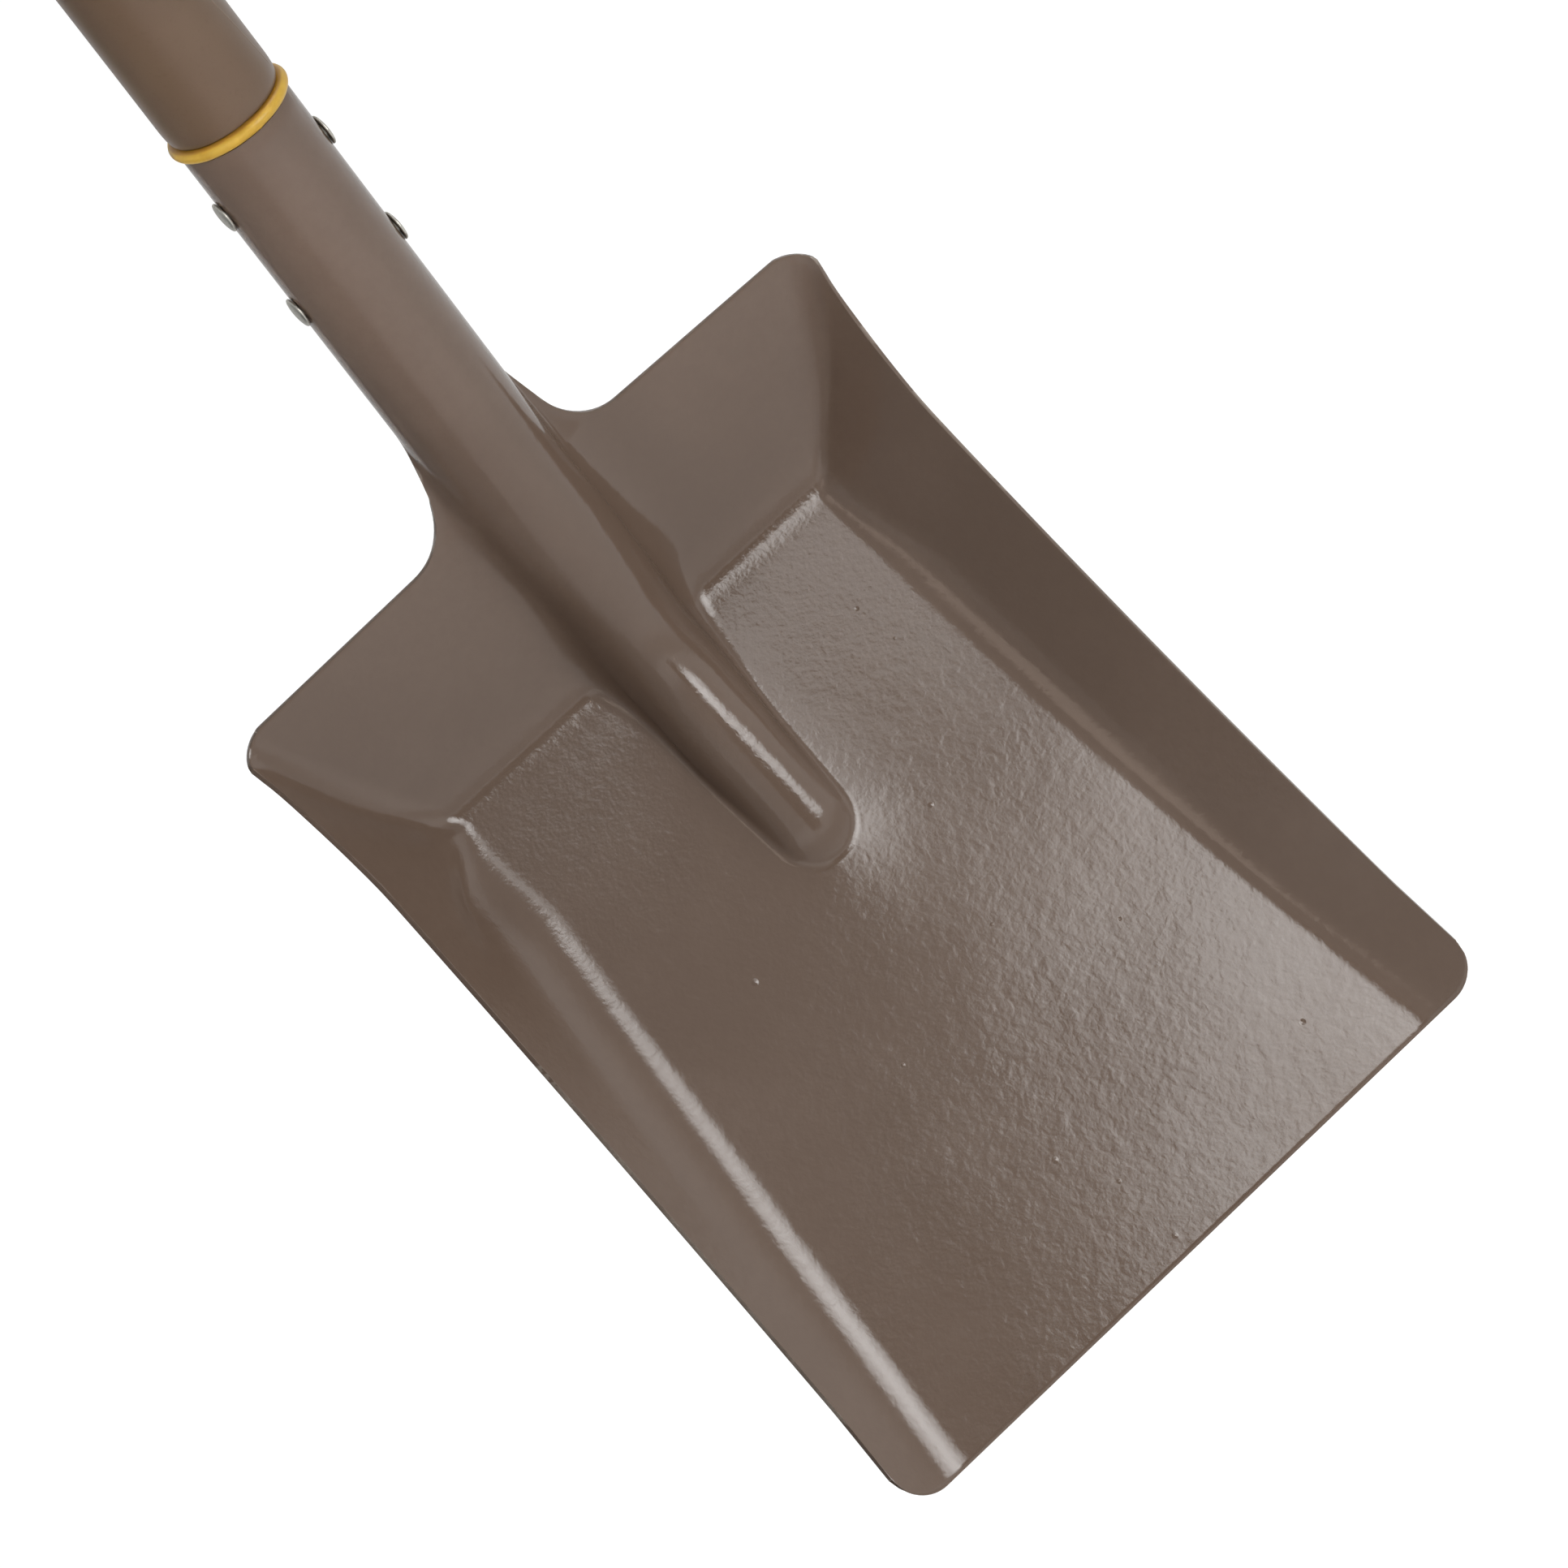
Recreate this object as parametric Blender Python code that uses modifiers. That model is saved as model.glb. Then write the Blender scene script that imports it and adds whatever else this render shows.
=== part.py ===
"""Square-mouth shovel: pressed steel head with a rolled socket, sleeved tubular shaft and moulded D-grip.

The shaft runs along +Z with the grip at the top and the pan facing -Y. The pieces are laid out from the
heel, where the blade floor folds into the back wall, and hang from an empty that puts the world's origin
under the middle of the grip's crossbar, where a hook or a hand holds the shovel.
"""
import math

import bmesh
import bpy
from mathutils import Matrix, Vector

# Lengths are in metres. Places along the sheet and the shaft are measured from the heel.
CLEARANCE = 0.0003

# Blade
LIFT = math.radians(38.6)
SHEET = 0.0018
FLOOR_LENGTH = 0.252
FLOOR_HALF_AT_HEEL = 0.0755
FLOOR_HALF_AT_MOUTH = 0.102
MOUTH_HALF = 0.1231
WAIST_HALF = 0.1130
WAIST_UP = -0.008
SHOULDER_HALF = 0.1180
WALL_AT_MOUTH = 0.007
WALL_AT_SHOULDER = 0.047
SHOULDER_UP = 0.0750
HEEL_BEND = 0.016
WALL_FILLET = 0.008
MOUTH_CORNER = 0.012
SHOULDER_CORNER = 0.010

# Rib
RIB_HEIGHT = 0.0065
RIB_HALF = 0.0135
RIB_LENGTH = 0.087
RIB_NOSE = 0.015
RIB_FULL_WIDTH_UP = 0.060
RIB_CREST_BEND = 0.0123
CREST_BEND_START = 0.030
CREST_ROUNDING = 0.014

# Socket and neck
SOCKET_RADIUS = 0.0192
SOCKET_TOP = 0.232
SEAM_GAP = 0.0012
SEAM_TURN = SEAM_GAP / (2 * SOCKET_RADIUS)
BACK_EDGE = 0.0769
NECK_HALF = SOCKET_RADIUS + 0.0082
NECK_RADIUS = 0.015
NECK_TAPER = 0.23
WRAP_START = 0.098
WRAP_END = 0.150

# Shaft, sleeve and ring
CORE_RADIUS = SOCKET_RADIUS - SHEET - CLEARANCE
CORE_WALL = 0.0015
CORE_CHAMFER = 0.0006
CORE_BOTTOM = 0.128
SLEEVE_RADIUS = SOCKET_RADIUS + 0.0004
SLEEVE_END_RADIUS = SLEEVE_RADIUS - 0.0012
SLEEVE_END_LENGTH = 0.007
SLEEVE_LENGTH = 0.362
RING_BEAD = 0.0020
RING_RADIUS = SOCKET_RADIUS + 0.0018

# Rivets
RIVET_SHANK = 0.0024
RIVET_HEAD = 0.0052
RIVET_DOME = 0.0015
RIVET_EDGE = 0.0005
LOWER_RIVET = 0.171
UPPER_RIVET = 0.210

# Grip
GRIP_COLLAR_WALL = 0.0051
GRIP_COLLAR_RADIUS = CORE_RADIUS + CLEARANCE + GRIP_COLLAR_WALL
GRIP_COLLAR_LENGTH = 0.064
GRIP_SHOULDER = 0.027
GRIP_CHAMFER = 0.0015
GRIP_OPENING = 0.080
GRIP_HALF_WIDTH = 0.042
BAR_RADIUS = 0.0150
ARM_RADIUS = 0.0115
GRIP_RIVET_HEAD = 0.0048
GRIP_RIVET_UP = 0.034

# Places that follow from the sizes above
RING_BOTTOM = SOCKET_TOP + CLEARANCE
SLEEVE_BOTTOM = RING_BOTTOM + 2 * RING_BEAD + CLEARANCE
SLEEVE_TOP = SLEEVE_BOTTOM + SLEEVE_LENGTH
COLLAR_BOTTOM = SLEEVE_TOP + CLEARANCE
COLLAR_TOP = COLLAR_BOTTOM + GRIP_COLLAR_LENGTH
CORE_TOP = COLLAR_TOP - CLEARANCE
YOKE_TOP = COLLAR_TOP + GRIP_SHOULDER
HANG_POINT = YOKE_TOP + GRIP_OPENING
GRIP_RIVET = COLLAR_BOTTOM + GRIP_RIVET_UP
BORE_RADIUS = CORE_RADIUS + CLEARANCE
HOLE_RADIUS = RIVET_SHANK + CLEARANCE

ALONG_FLOOR = Vector((0.0, math.sin(LIFT), math.cos(LIFT)))
OUT_OF_FLOOR = Vector((0.0, -math.cos(LIFT), math.sin(LIFT)))
UP_SHAFT = Vector((0.0, 0.0, 1.0))
OUT_OF_SHAFT = Vector((0.0, -1.0, 0.0))

ROUND_STEPS = 36


def clear_scene():
    for obj in list(bpy.data.objects):
        bpy.data.objects.remove(obj, do_unlink=True)


def new_collection(name):
    collection = bpy.data.collections.new(name)
    bpy.context.scene.collection.children.link(collection)
    return collection


def principled(name, colour, roughness, metallic=0.0):
    material = bpy.data.materials.new(name)
    material.use_nodes = True
    shader = material.node_tree.nodes["Principled BSDF"]
    shader.inputs["Base Color"].default_value = (*colour, 1.0)
    shader.inputs["Roughness"].default_value = roughness
    shader.inputs["Metallic"].default_value = metallic
    return material


def mix(a, b, share):
    return a + (b - a) * share


def smooth(share):
    share = min(max(share, 0.0), 1.0)
    return share * share * (3.0 - 2.0 * share)


def bend(start, corner, end, share):
    """A point on the quadratic curve that rounds a corner."""
    return start * (1 - share) ** 2 + corner * (2 * share * (1 - share)) + end * share ** 2


# Head: the pan, the rib and the socket are one loft of half sections, mirrored and thickened

def base_line(along):
    """The sheet's front face beside the rib: the floor below the heel, the shaft's line above it."""
    if along <= -HEEL_BEND:
        return ALONG_FLOOR * along
    if along >= HEEL_BEND:
        return UP_SHAFT * along
    share = (along + HEEL_BEND) / (2 * HEEL_BEND)
    return bend(ALONG_FLOOR * -HEEL_BEND, Vector((0.0, 0.0, 0.0)), UP_SHAFT * HEEL_BEND, share)


def crest_line(along):
    """The rib's crest: the socket's front line, bent where it comes down to the floor, then the nose."""
    nose_start = -(RIB_LENGTH - RIB_NOSE)
    if along >= CREST_BEND_START:
        return UP_SHAFT * along + OUT_OF_SHAFT * SOCKET_RADIUS
    if along <= nose_start:
        into_nose = min((nose_start - along) / RIB_NOSE, 1.0)
        height = RIB_HEIGHT * math.sqrt(1.0 - into_nose ** 2)
        return base_line(along) + OUT_OF_FLOOR * height
    start = UP_SHAFT * CREST_BEND_START + OUT_OF_SHAFT * SOCKET_RADIUS
    corner = UP_SHAFT * RIB_CREST_BEND + OUT_OF_SHAFT * SOCKET_RADIUS
    end = ALONG_FLOOR * nose_start + OUT_OF_FLOOR * RIB_HEIGHT
    upper = (corner - start).length
    lower = (end - corner).length
    travel = (CREST_BEND_START - along) / (CREST_BEND_START - nose_start) * (upper + lower)
    if travel < upper - CREST_ROUNDING:
        return start.lerp(corner, travel / upper)
    if travel > upper + CREST_ROUNDING:
        return corner.lerp(end, (travel - upper) / lower)
    share = (travel - upper + CREST_ROUNDING) / (2 * CREST_ROUNDING)
    leaving = corner.lerp(start, CREST_ROUNDING / upper)
    arriving = corner.lerp(end, CREST_ROUNDING / lower)
    return bend(leaving, corner, arriving, share)


def rib_half(along):
    """Half the rib's width: as wide as the socket at the neck, narrower down the floor, round at the nose."""
    nose_start = -(RIB_LENGTH - RIB_NOSE)
    if along >= RIB_FULL_WIDTH_UP:
        return SOCKET_RADIUS
    if along >= nose_start:
        return mix(RIB_HALF, SOCKET_RADIUS, (along - nose_start) / (RIB_FULL_WIDTH_UP - nose_start))
    into_nose = min((nose_start - along) / RIB_NOSE, 1.0)
    return RIB_HALF * mix(0.25, 1.0, math.sqrt(1.0 - into_nose ** 2))


def rib_roundness(along):
    """0 where the rib's section is the floor's soft ridge, 1 where it is the socket's half circle."""
    return smooth((along + 0.030) / 0.075)


def web_edge(along):
    """Half the sheet's width just above the pan, where a fillet joins the back edge to the socket."""
    above_edge = max(along - BACK_EDGE, 0.0)
    left_to_turn = max(NECK_RADIUS - above_edge, 0.0)
    rounding = NECK_RADIUS - math.sqrt(NECK_RADIUS ** 2 - left_to_turn ** 2)
    return NECK_HALF + rounding - NECK_TAPER * above_edge


def blade_place(along):
    """How far up the blade's own length, and how far above its floor, the base line is."""
    place = base_line(along)
    return place.dot(ALONG_FLOOR), place.dot(OUT_OF_FLOOR)


def side_edge(along):
    """Half the width over the side walls' top edges, and the walls' rise above the base line."""
    up, above = blade_place(along)
    shoulder_up = SHOULDER_UP * math.cos(LIFT)
    share = (up + FLOOR_LENGTH) / (shoulder_up + FLOOR_LENGTH)
    climb = WALL_AT_SHOULDER - WALL_AT_MOUTH
    top = WALL_AT_MOUTH + climb * (0.65 * share + 0.35 * share ** 3)
    if up < WAIST_UP:
        down = (WAIST_UP - up) / (FLOOR_LENGTH + WAIST_UP)
        half = mix(WAIST_HALF, MOUTH_HALF, 0.55 * down + 0.45 * down ** 2)
    else:
        half = mix(WAIST_HALF, SHOULDER_HALF, ((up - WAIST_UP) / (shoulder_up - WAIST_UP)) ** 1.7)
    return half, max(top - above, 0.0)


def crease(along):
    """Half the width between the creases where the side walls leave the floor or the back wall."""
    if along < 0:
        return mix(FLOOR_HALF_AT_HEEL, FLOOR_HALF_AT_MOUTH, -along / FLOOR_LENGTH)
    shoulder_crease = SHOULDER_HALF - 0.002
    return mix(FLOOR_HALF_AT_HEEL, shoulder_crease, min(along / SHOULDER_UP, 1.0))


def ramp(distance, fillet):
    """A straight slope that starts at 0, with its foot rounded over twice the fillet."""
    if distance <= -fillet:
        return 0.0
    if distance >= fillet:
        return distance
    return (distance + fillet) ** 2 / (4 * fillet)


RIB_SHARES = [step / 7 for step in range(8)]
WEB_SHARES = [0.04, 0.08, 0.13, 0.20, 0.32, 0.50, 0.68, 0.84, 1.0]
PLATE_SHARES = [0.40, 0.76, 0.90, 0.96, 1.0]
FILLET_SHARES = [1 / 3, 2 / 3, 1.0]
WALL_SHARES = [0.36, 0.68, 0.90, 1.0]


def tongue_section(along):
    """The rib and the web beside it, or the socket: half widths and shares of the crest's height.

    The section is worked out twice, as a rib with a flat web and as a full wrap round the shaft, and
    goes from the first to the second above the neck.
    """
    round_share = rib_roundness(along)
    power = mix(1.0, 0.5, round_share)
    rib_end = math.radians(mix(58.0, 72.0, round_share))
    half = rib_half(along)
    points = []
    for share in RIB_SHARES:
        turn = rib_end * share
        points.append((half * math.sin(turn), math.cos(turn) ** (2 * power)))
    foot_x, foot_height = points[-1]
    web_end = max(web_edge(along), foot_x + 0.0004)
    foot_length = half * math.cos(rib_end) ** 2 / (power * math.sin(rib_end))
    foot_length = min(foot_length, web_end - foot_x)
    wrap_share = smooth((along - WRAP_START) / (WRAP_END - WRAP_START))
    wrap_end = math.pi - SEAM_TURN
    for number, share in enumerate(WEB_SHARES, start=1):
        flat_x = mix(foot_x, web_end, share)
        left = max(1.0 - (flat_x - foot_x) / foot_length, 0.0)
        flat_height = foot_height * left ** 2
        flat_turn = math.atan2(flat_x, flat_height * SOCKET_RADIUS)
        flat_radius = math.hypot(flat_x, flat_height * SOCKET_RADIUS)
        wrapped_turn = mix(rib_end, wrap_end, number / len(WEB_SHARES))
        turn = mix(flat_turn, wrapped_turn, wrap_share)
        radius = mix(flat_radius, SOCKET_RADIUS, wrap_share)
        if wrap_share > 0:
            radius = max(radius, SOCKET_RADIUS)
        points.append((radius * math.sin(turn), radius * math.cos(turn) / SOCKET_RADIUS))
    return points


def pan_columns(along):
    """Half widths across the plate and the side wall, outside the web."""
    half, _ = side_edge(along)
    fold = crease(along)
    fillet = min(WALL_FILLET, 0.45 * (half - fold))
    start = web_edge(min(along, BACK_EDGE))
    columns = [mix(start, fold - fillet, share) for share in PLATE_SHARES]
    columns += [mix(fold - fillet, fold + fillet, share) for share in FILLET_SHARES]
    columns += [mix(fold + fillet, half, share) for share in WALL_SHARES]
    return columns


def wall_rise(x, along):
    half, rise = side_edge(along)
    fold = crease(along)
    fillet = min(WALL_FILLET, 0.45 * (half - fold))
    return rise * ramp(x - fold, fillet) / (half - fold)


def corner_cut(x, half, radius):
    """How far a corner of the outline is cut back at this half width."""
    into_corner = max(x - (half - radius), 0.0)
    return radius - math.sqrt(max(radius ** 2 - into_corner ** 2, 0.0))


def trimmed(along, column):
    """The row's place on this column, moved so that the mouth and the back edge have round corners."""
    fade_at_mouth = 0.040
    fade_at_back = 0.030
    mouth_half, _ = side_edge(-FLOOR_LENGTH)
    back_half, _ = side_edge(SHOULDER_UP)
    at_mouth = pan_columns(-FLOOR_LENGTH)[column]
    at_back = pan_columns(SHOULDER_UP)[column]
    start = corner_cut(at_mouth, mouth_half, MOUTH_CORNER)
    out = (at_back - web_edge(BACK_EDGE)) / (back_half - web_edge(BACK_EDGE))
    end = (BACK_EDGE - SHOULDER_UP) * out + corner_cut(at_back, back_half, SHOULDER_CORNER)
    along += start * max(1.0 - (along + FLOOR_LENGTH) / fade_at_mouth, 0.0)
    along -= end * max(1.0 - (BACK_EDGE - along) / fade_at_back, 0.0)
    return along


def tongue_points(along):
    base = base_line(along)
    height = crest_line(along) - base
    return [base + height * share + Vector((x, 0.0, 0.0)) for x, share in tongue_section(along)]


def pan_points(along):
    points = []
    for column in range(len(PLATE_SHARES) + len(FILLET_SHARES) + len(WALL_SHARES)):
        place = trimmed(along, column)
        x = pan_columns(place)[column]
        points.append(base_line(place) + OUT_OF_FLOOR * wall_rise(x, place) + Vector((x, 0.0, 0.0)))
    return points


def pan_rows():
    """Places of the loft's rows up to the back edge, close together at the mouth, nose and heel."""
    floor = [-FLOOR_LENGTH + step for step in (0.0, 0.006, 0.014, 0.030, 0.060, 0.100, 0.140)]
    nose = [-(RIB_LENGTH - RIB_NOSE * step) for step in (-0.3, 0.0, 0.02, 0.08, 0.20, 0.38, 0.65, 1.0)]
    rib = [-0.056, -0.042, -0.028]
    heel = [HEEL_BEND * step / 3 for step in range(-3, 4)]
    back = [mix(HEEL_BEND, BACK_EDGE, share) for share in (0.18, 0.38, 0.58, 0.78, 1.0)]
    return floor + nose + rib + heel + back


def tongue_rows():
    """Places of the rows above the back edge: the neck's fillet, the wrap and the straight socket."""
    fillet = []
    for degrees in (18, 34, 50, 68, 90):
        fillet.append(BACK_EDGE + NECK_RADIUS * (1.0 - math.cos(math.radians(degrees))))
    wrap = [mix(WRAP_START, WRAP_END, step / 15) for step in range(16)]
    return fillet + [0.5 * (fillet[-1] + wrap[0])] + wrap + [SOCKET_TOP]


def head_half():
    """The front face of the sheet on the side of +X, open along the middle."""
    half = bmesh.new()
    rows = [[half.verts.new(p) for p in tongue_points(a) + pan_points(a)] for a in pan_rows()]
    rows += [[half.verts.new(p) for p in tongue_points(a)] for a in tongue_rows()]
    for lower, upper in zip(rows, rows[1:]):
        for column in range(min(len(lower), len(upper)) - 1):
            half.faces.new((lower[column], lower[column + 1], upper[column + 1], upper[column]))
    mesh = bpy.data.meshes.new("head")
    half.to_mesh(mesh)
    half.free()
    return mesh


def add_object(name, mesh, collection, parent, material=None):
    obj = bpy.data.objects.new(name, mesh)
    collection.objects.link(obj)
    obj.parent = parent
    if material:
        obj.data.materials.append(material)
    return obj


def shade(obj):
    obj.data.shade_smooth()
    obj.data.set_sharp_from_angle(angle=math.radians(35))


def make_head(parts, cutters, parent, material):
    head = add_object("head", head_half(), parts, parent, material)
    shade(head)
    mirror = head.modifiers.new("Other half", "MIRROR")
    mirror.merge_threshold = 0.0001
    sheet = head.modifiers.new("Sheet", "SOLIDIFY")
    sheet.thickness = SHEET
    sheet.offset = -1.0
    sheet.use_even_offset = True
    for name, height in (("lower_rivet_hole", LOWER_RIVET), ("upper_rivet_hole", UPPER_RIVET)):
        hole = add_object(name, cross_cylinder(HOLE_RADIUS, 4 * SOCKET_RADIUS, height), cutters, parent)
        cut(head, hole)
    return head


# Turned and drilled pieces

def turned(name, outline, collection, parent, material=None, closed=True, steps=ROUND_STEPS):
    """A profile of (radius, height) points, down the outer side first, turned about Z."""
    profile = bmesh.new()
    points = [profile.verts.new((radius, 0.0, height)) for radius, height in outline]
    for first, second in zip(points, points[1:]):
        profile.edges.new((first, second))
    if closed:
        profile.edges.new((points[-1], points[0]))
    mesh = bpy.data.meshes.new(name)
    profile.to_mesh(mesh)
    profile.free()
    obj = add_object(name, mesh, collection, parent, material)
    screw = obj.modifiers.new("Turn", "SCREW")
    screw.steps = steps
    screw.render_steps = steps
    screw.use_merge_vertices = True
    screw.merge_threshold = 0.00001
    screw.use_smooth_shade = True
    return obj


def cross_cylinder(radius, length, height, steps=24):
    """A plain cylinder along X, centred on the shaft's line."""
    shape = bmesh.new()
    place = Matrix.Translation((0.0, 0.0, height)) @ Matrix.Rotation(math.radians(90), 4, "Y")
    bmesh.ops.create_cone(shape, cap_ends=True, segments=steps, radius1=radius, radius2=radius,
                          depth=length, matrix=place)
    mesh = bpy.data.meshes.new("cross_cylinder")
    shape.to_mesh(mesh)
    shape.free()
    return mesh


def cut(obj, cutter, operation="DIFFERENCE"):
    cutter.hide_render = True
    cutter.display_type = "WIRE"
    boolean = obj.modifiers.new(cutter.name, "BOOLEAN")
    boolean.operation = operation
    boolean.object = cutter
    return boolean


def arc(centre_radius, centre_height, radius, start, end, count):
    """Points on an arc of a turned profile; 0 degrees points outwards and 90 degrees up."""
    points = []
    for step in range(count + 1):
        turn = math.radians(mix(start, end, step / count))
        points.append((centre_radius + radius * math.cos(turn), centre_height + radius * math.sin(turn)))
    return points


def make_core(parts, cutters, parent, material):
    inner = CORE_RADIUS - CORE_WALL
    outline = [
        (CORE_RADIUS - CORE_CHAMFER, CORE_TOP),
        (CORE_RADIUS, CORE_TOP - CORE_CHAMFER),
        (CORE_RADIUS, CORE_BOTTOM + CORE_CHAMFER),
        (CORE_RADIUS - CORE_CHAMFER, CORE_BOTTOM),
        (inner, CORE_BOTTOM),
        (inner, CORE_TOP),
    ]
    core = turned("shaft_core", outline, parts, parent, material)
    for name, height in (("core_lower_hole", LOWER_RIVET), ("core_upper_hole", UPPER_RIVET),
                         ("core_grip_hole", GRIP_RIVET)):
        hole = add_object(name, cross_cylinder(HOLE_RADIUS, 4 * CORE_RADIUS, height), cutters, parent)
        cut(core, hole)
    return core


def make_sleeve(parts, parent, material):
    """The sleeve's lower end is drawn in, in a quarter of an ellipse, where it meets the ring."""
    outline = [(SLEEVE_RADIUS, SLEEVE_TOP)]
    steps = 6
    for step in range(steps + 1):
        turn = math.radians(90.0 * step / steps)
        radius = mix(SLEEVE_END_RADIUS, SLEEVE_RADIUS, math.cos(turn))
        outline.append((radius, SLEEVE_BOTTOM + SLEEVE_END_LENGTH * (1.0 - math.sin(turn))))
    outline += [(BORE_RADIUS, SLEEVE_BOTTOM), (BORE_RADIUS, SLEEVE_TOP)]
    return turned("sleeve", outline, parts, parent, material)


def make_ring(parts, parent, material):
    """A ring whose rim is a half round bead, standing a little proud of the sleeve and the socket."""
    middle = RING_BOTTOM + RING_BEAD
    outline = arc(RING_RADIUS - RING_BEAD, middle, RING_BEAD, 90.0, -90.0, 10)
    outline += [(BORE_RADIUS, RING_BOTTOM), (BORE_RADIUS, RING_BOTTOM + 2 * RING_BEAD)]
    return turned("collar_ring", outline, parts, parent, material)


def rivet_outline(seat, head_radius, dome):
    """Half of a through rivet's profile, mirrored in height: domed heads that seat at plus and minus seat."""
    top = []
    steps = 6
    for step in range(steps):
        turn = math.radians(90.0 * step / steps)
        top.append((head_radius * math.sin(turn), seat + RIVET_EDGE + (dome - RIVET_EDGE) * math.cos(turn)))
    top += [(head_radius, seat + RIVET_EDGE), (head_radius, seat), (RIVET_SHANK, seat)]
    return top + [(radius, -height) for radius, height in reversed(top)]


def make_rivet(name, height, outer_radius, head_radius, parts, parent, material):
    outline = rivet_outline(outer_radius + CLEARANCE, head_radius, RIVET_DOME)
    rivet = turned(name, outline, parts, parent, material, closed=False, steps=24)
    rivet.location = (0.0, 0.0, height)
    rivet.rotation_euler = (0.0, math.radians(90), 0.0)
    return rivet


# Grip: a closed loop of round bar on a turned collar

def grip_loop(parent, cutters):
    """The crossbar and arms as one closed curve, thicker along the crossbar, made into a mesh."""
    bar = HANG_POINT + BAR_RADIUS
    yoke = YOKE_TOP - ARM_RADIUS
    arm = mix(yoke, bar, 0.55)
    low_arm = mix(yoke, bar, 0.22)
    corner = GRIP_HALF_WIDTH + ARM_RADIUS
    right = [
        (0.62 * GRIP_HALF_WIDTH, bar, BAR_RADIUS),
        (corner, bar, ARM_RADIUS * 1.1),
        (corner, mix(bar, arm, 0.55), ARM_RADIUS),
        (0.62 * corner, mix(yoke, bar, 0.42), ARM_RADIUS),
        (0.34 * corner, low_arm, ARM_RADIUS * 1.1),
        (0.16 * corner, yoke, ARM_RADIUS * 1.2),
    ]
    left = [(-x, z, radius) for x, z, radius in reversed(right)]
    points = [(0.0, bar, BAR_RADIUS)] + right + left
    curve = bpy.data.curves.new("grip_loop", "CURVE")
    curve.dimensions = "3D"
    curve.bevel_depth = 1.0
    curve.bevel_resolution = 4
    spline = curve.splines.new("NURBS")
    spline.points.add(len(points) - 1)
    for point, (x, z, radius) in zip(spline.points, points):
        point.co = (x, 0.0, z, 1.0)
        point.radius = radius
    spline.use_cyclic_u = True
    spline.order_u = 4
    spline.resolution_u = 3
    guide = add_object("grip_loop_guide", curve, cutters, None)
    bpy.context.view_layer.update()
    depsgraph = bpy.context.evaluated_depsgraph_get()
    mesh = bpy.data.meshes.new_from_object(guide.evaluated_get(depsgraph))
    bpy.data.objects.remove(guide, do_unlink=True)
    welded = bmesh.new()
    welded.from_mesh(mesh)
    bmesh.ops.remove_doubles(welded, verts=welded.verts, dist=0.00001)
    bmesh.ops.recalc_face_normals(welded, faces=welded.faces)
    welded.to_mesh(mesh)
    welded.free()
    mesh.name = "grip_loop"
    return add_object("grip_loop", mesh, cutters, parent)


def make_grip(parts, cutters, parent, material):
    """A collar with a domed shoulder, blind bored for the core, and the loop that grows out of it."""
    shoulder = YOKE_TOP - 0.15 * GRIP_SHOULDER
    dome = 1.2 * GRIP_SHOULDER
    outline = [(0.0, shoulder)]
    for radius_share, drop_share in ((0.55, 0.03), (0.80, 0.25), (0.93, 0.56), (1.0, 1.0)):
        outline.append((radius_share * GRIP_COLLAR_RADIUS, shoulder - drop_share * dome))
    outline += [
        (GRIP_COLLAR_RADIUS, COLLAR_BOTTOM + GRIP_CHAMFER),
        (GRIP_COLLAR_RADIUS - GRIP_CHAMFER, COLLAR_BOTTOM),
        (BORE_RADIUS, COLLAR_BOTTOM),
        (BORE_RADIUS, COLLAR_TOP),
        (0.0, COLLAR_TOP),
    ]
    grip = turned("grip_body", outline, parts, parent, material, closed=False)
    cut(grip, grip_loop(parent, cutters), "UNION")
    hole = cross_cylinder(HOLE_RADIUS, 4 * GRIP_COLLAR_RADIUS, GRIP_RIVET)
    cut(grip, add_object("grip_rivet_hole", hole, cutters, parent))
    return grip


def build():
    clear_scene()
    parts = new_collection("square_shovel")
    cutters = new_collection("cutters")
    frame = bpy.data.objects.new("shovel_frame", None)
    parts.objects.link(frame)
    frame.location = (0.0, 0.0, -HANG_POINT)

    enamel = principled("taupe_enamel", (0.165, 0.130, 0.103), 0.28)
    plastic = principled("olive_taupe_plastic", (0.190, 0.150, 0.105), 0.42)
    yellow = principled("mustard_plastic", (0.560, 0.330, 0.045), 0.40)
    steel = principled("bare_steel", (0.560, 0.550, 0.520), 0.32, 1.0)

    make_head(parts, cutters, frame, enamel)
    make_core(parts, cutters, frame, steel)
    make_sleeve(parts, frame, plastic)
    make_ring(parts, frame, yellow)
    make_rivet("rivet_upper", UPPER_RIVET, SOCKET_RADIUS, RIVET_HEAD, parts, frame, steel)
    make_rivet("rivet_lower", LOWER_RIVET, SOCKET_RADIUS, RIVET_HEAD, parts, frame, steel)
    make_grip(parts, cutters, frame, plastic)
    make_rivet("grip_rivet", GRIP_RIVET, GRIP_COLLAR_RADIUS, GRIP_RIVET_HEAD, parts, frame, steel)


build()
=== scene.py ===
import math

import bmesh
import bpy
from mathutils import Matrix, Vector


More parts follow.
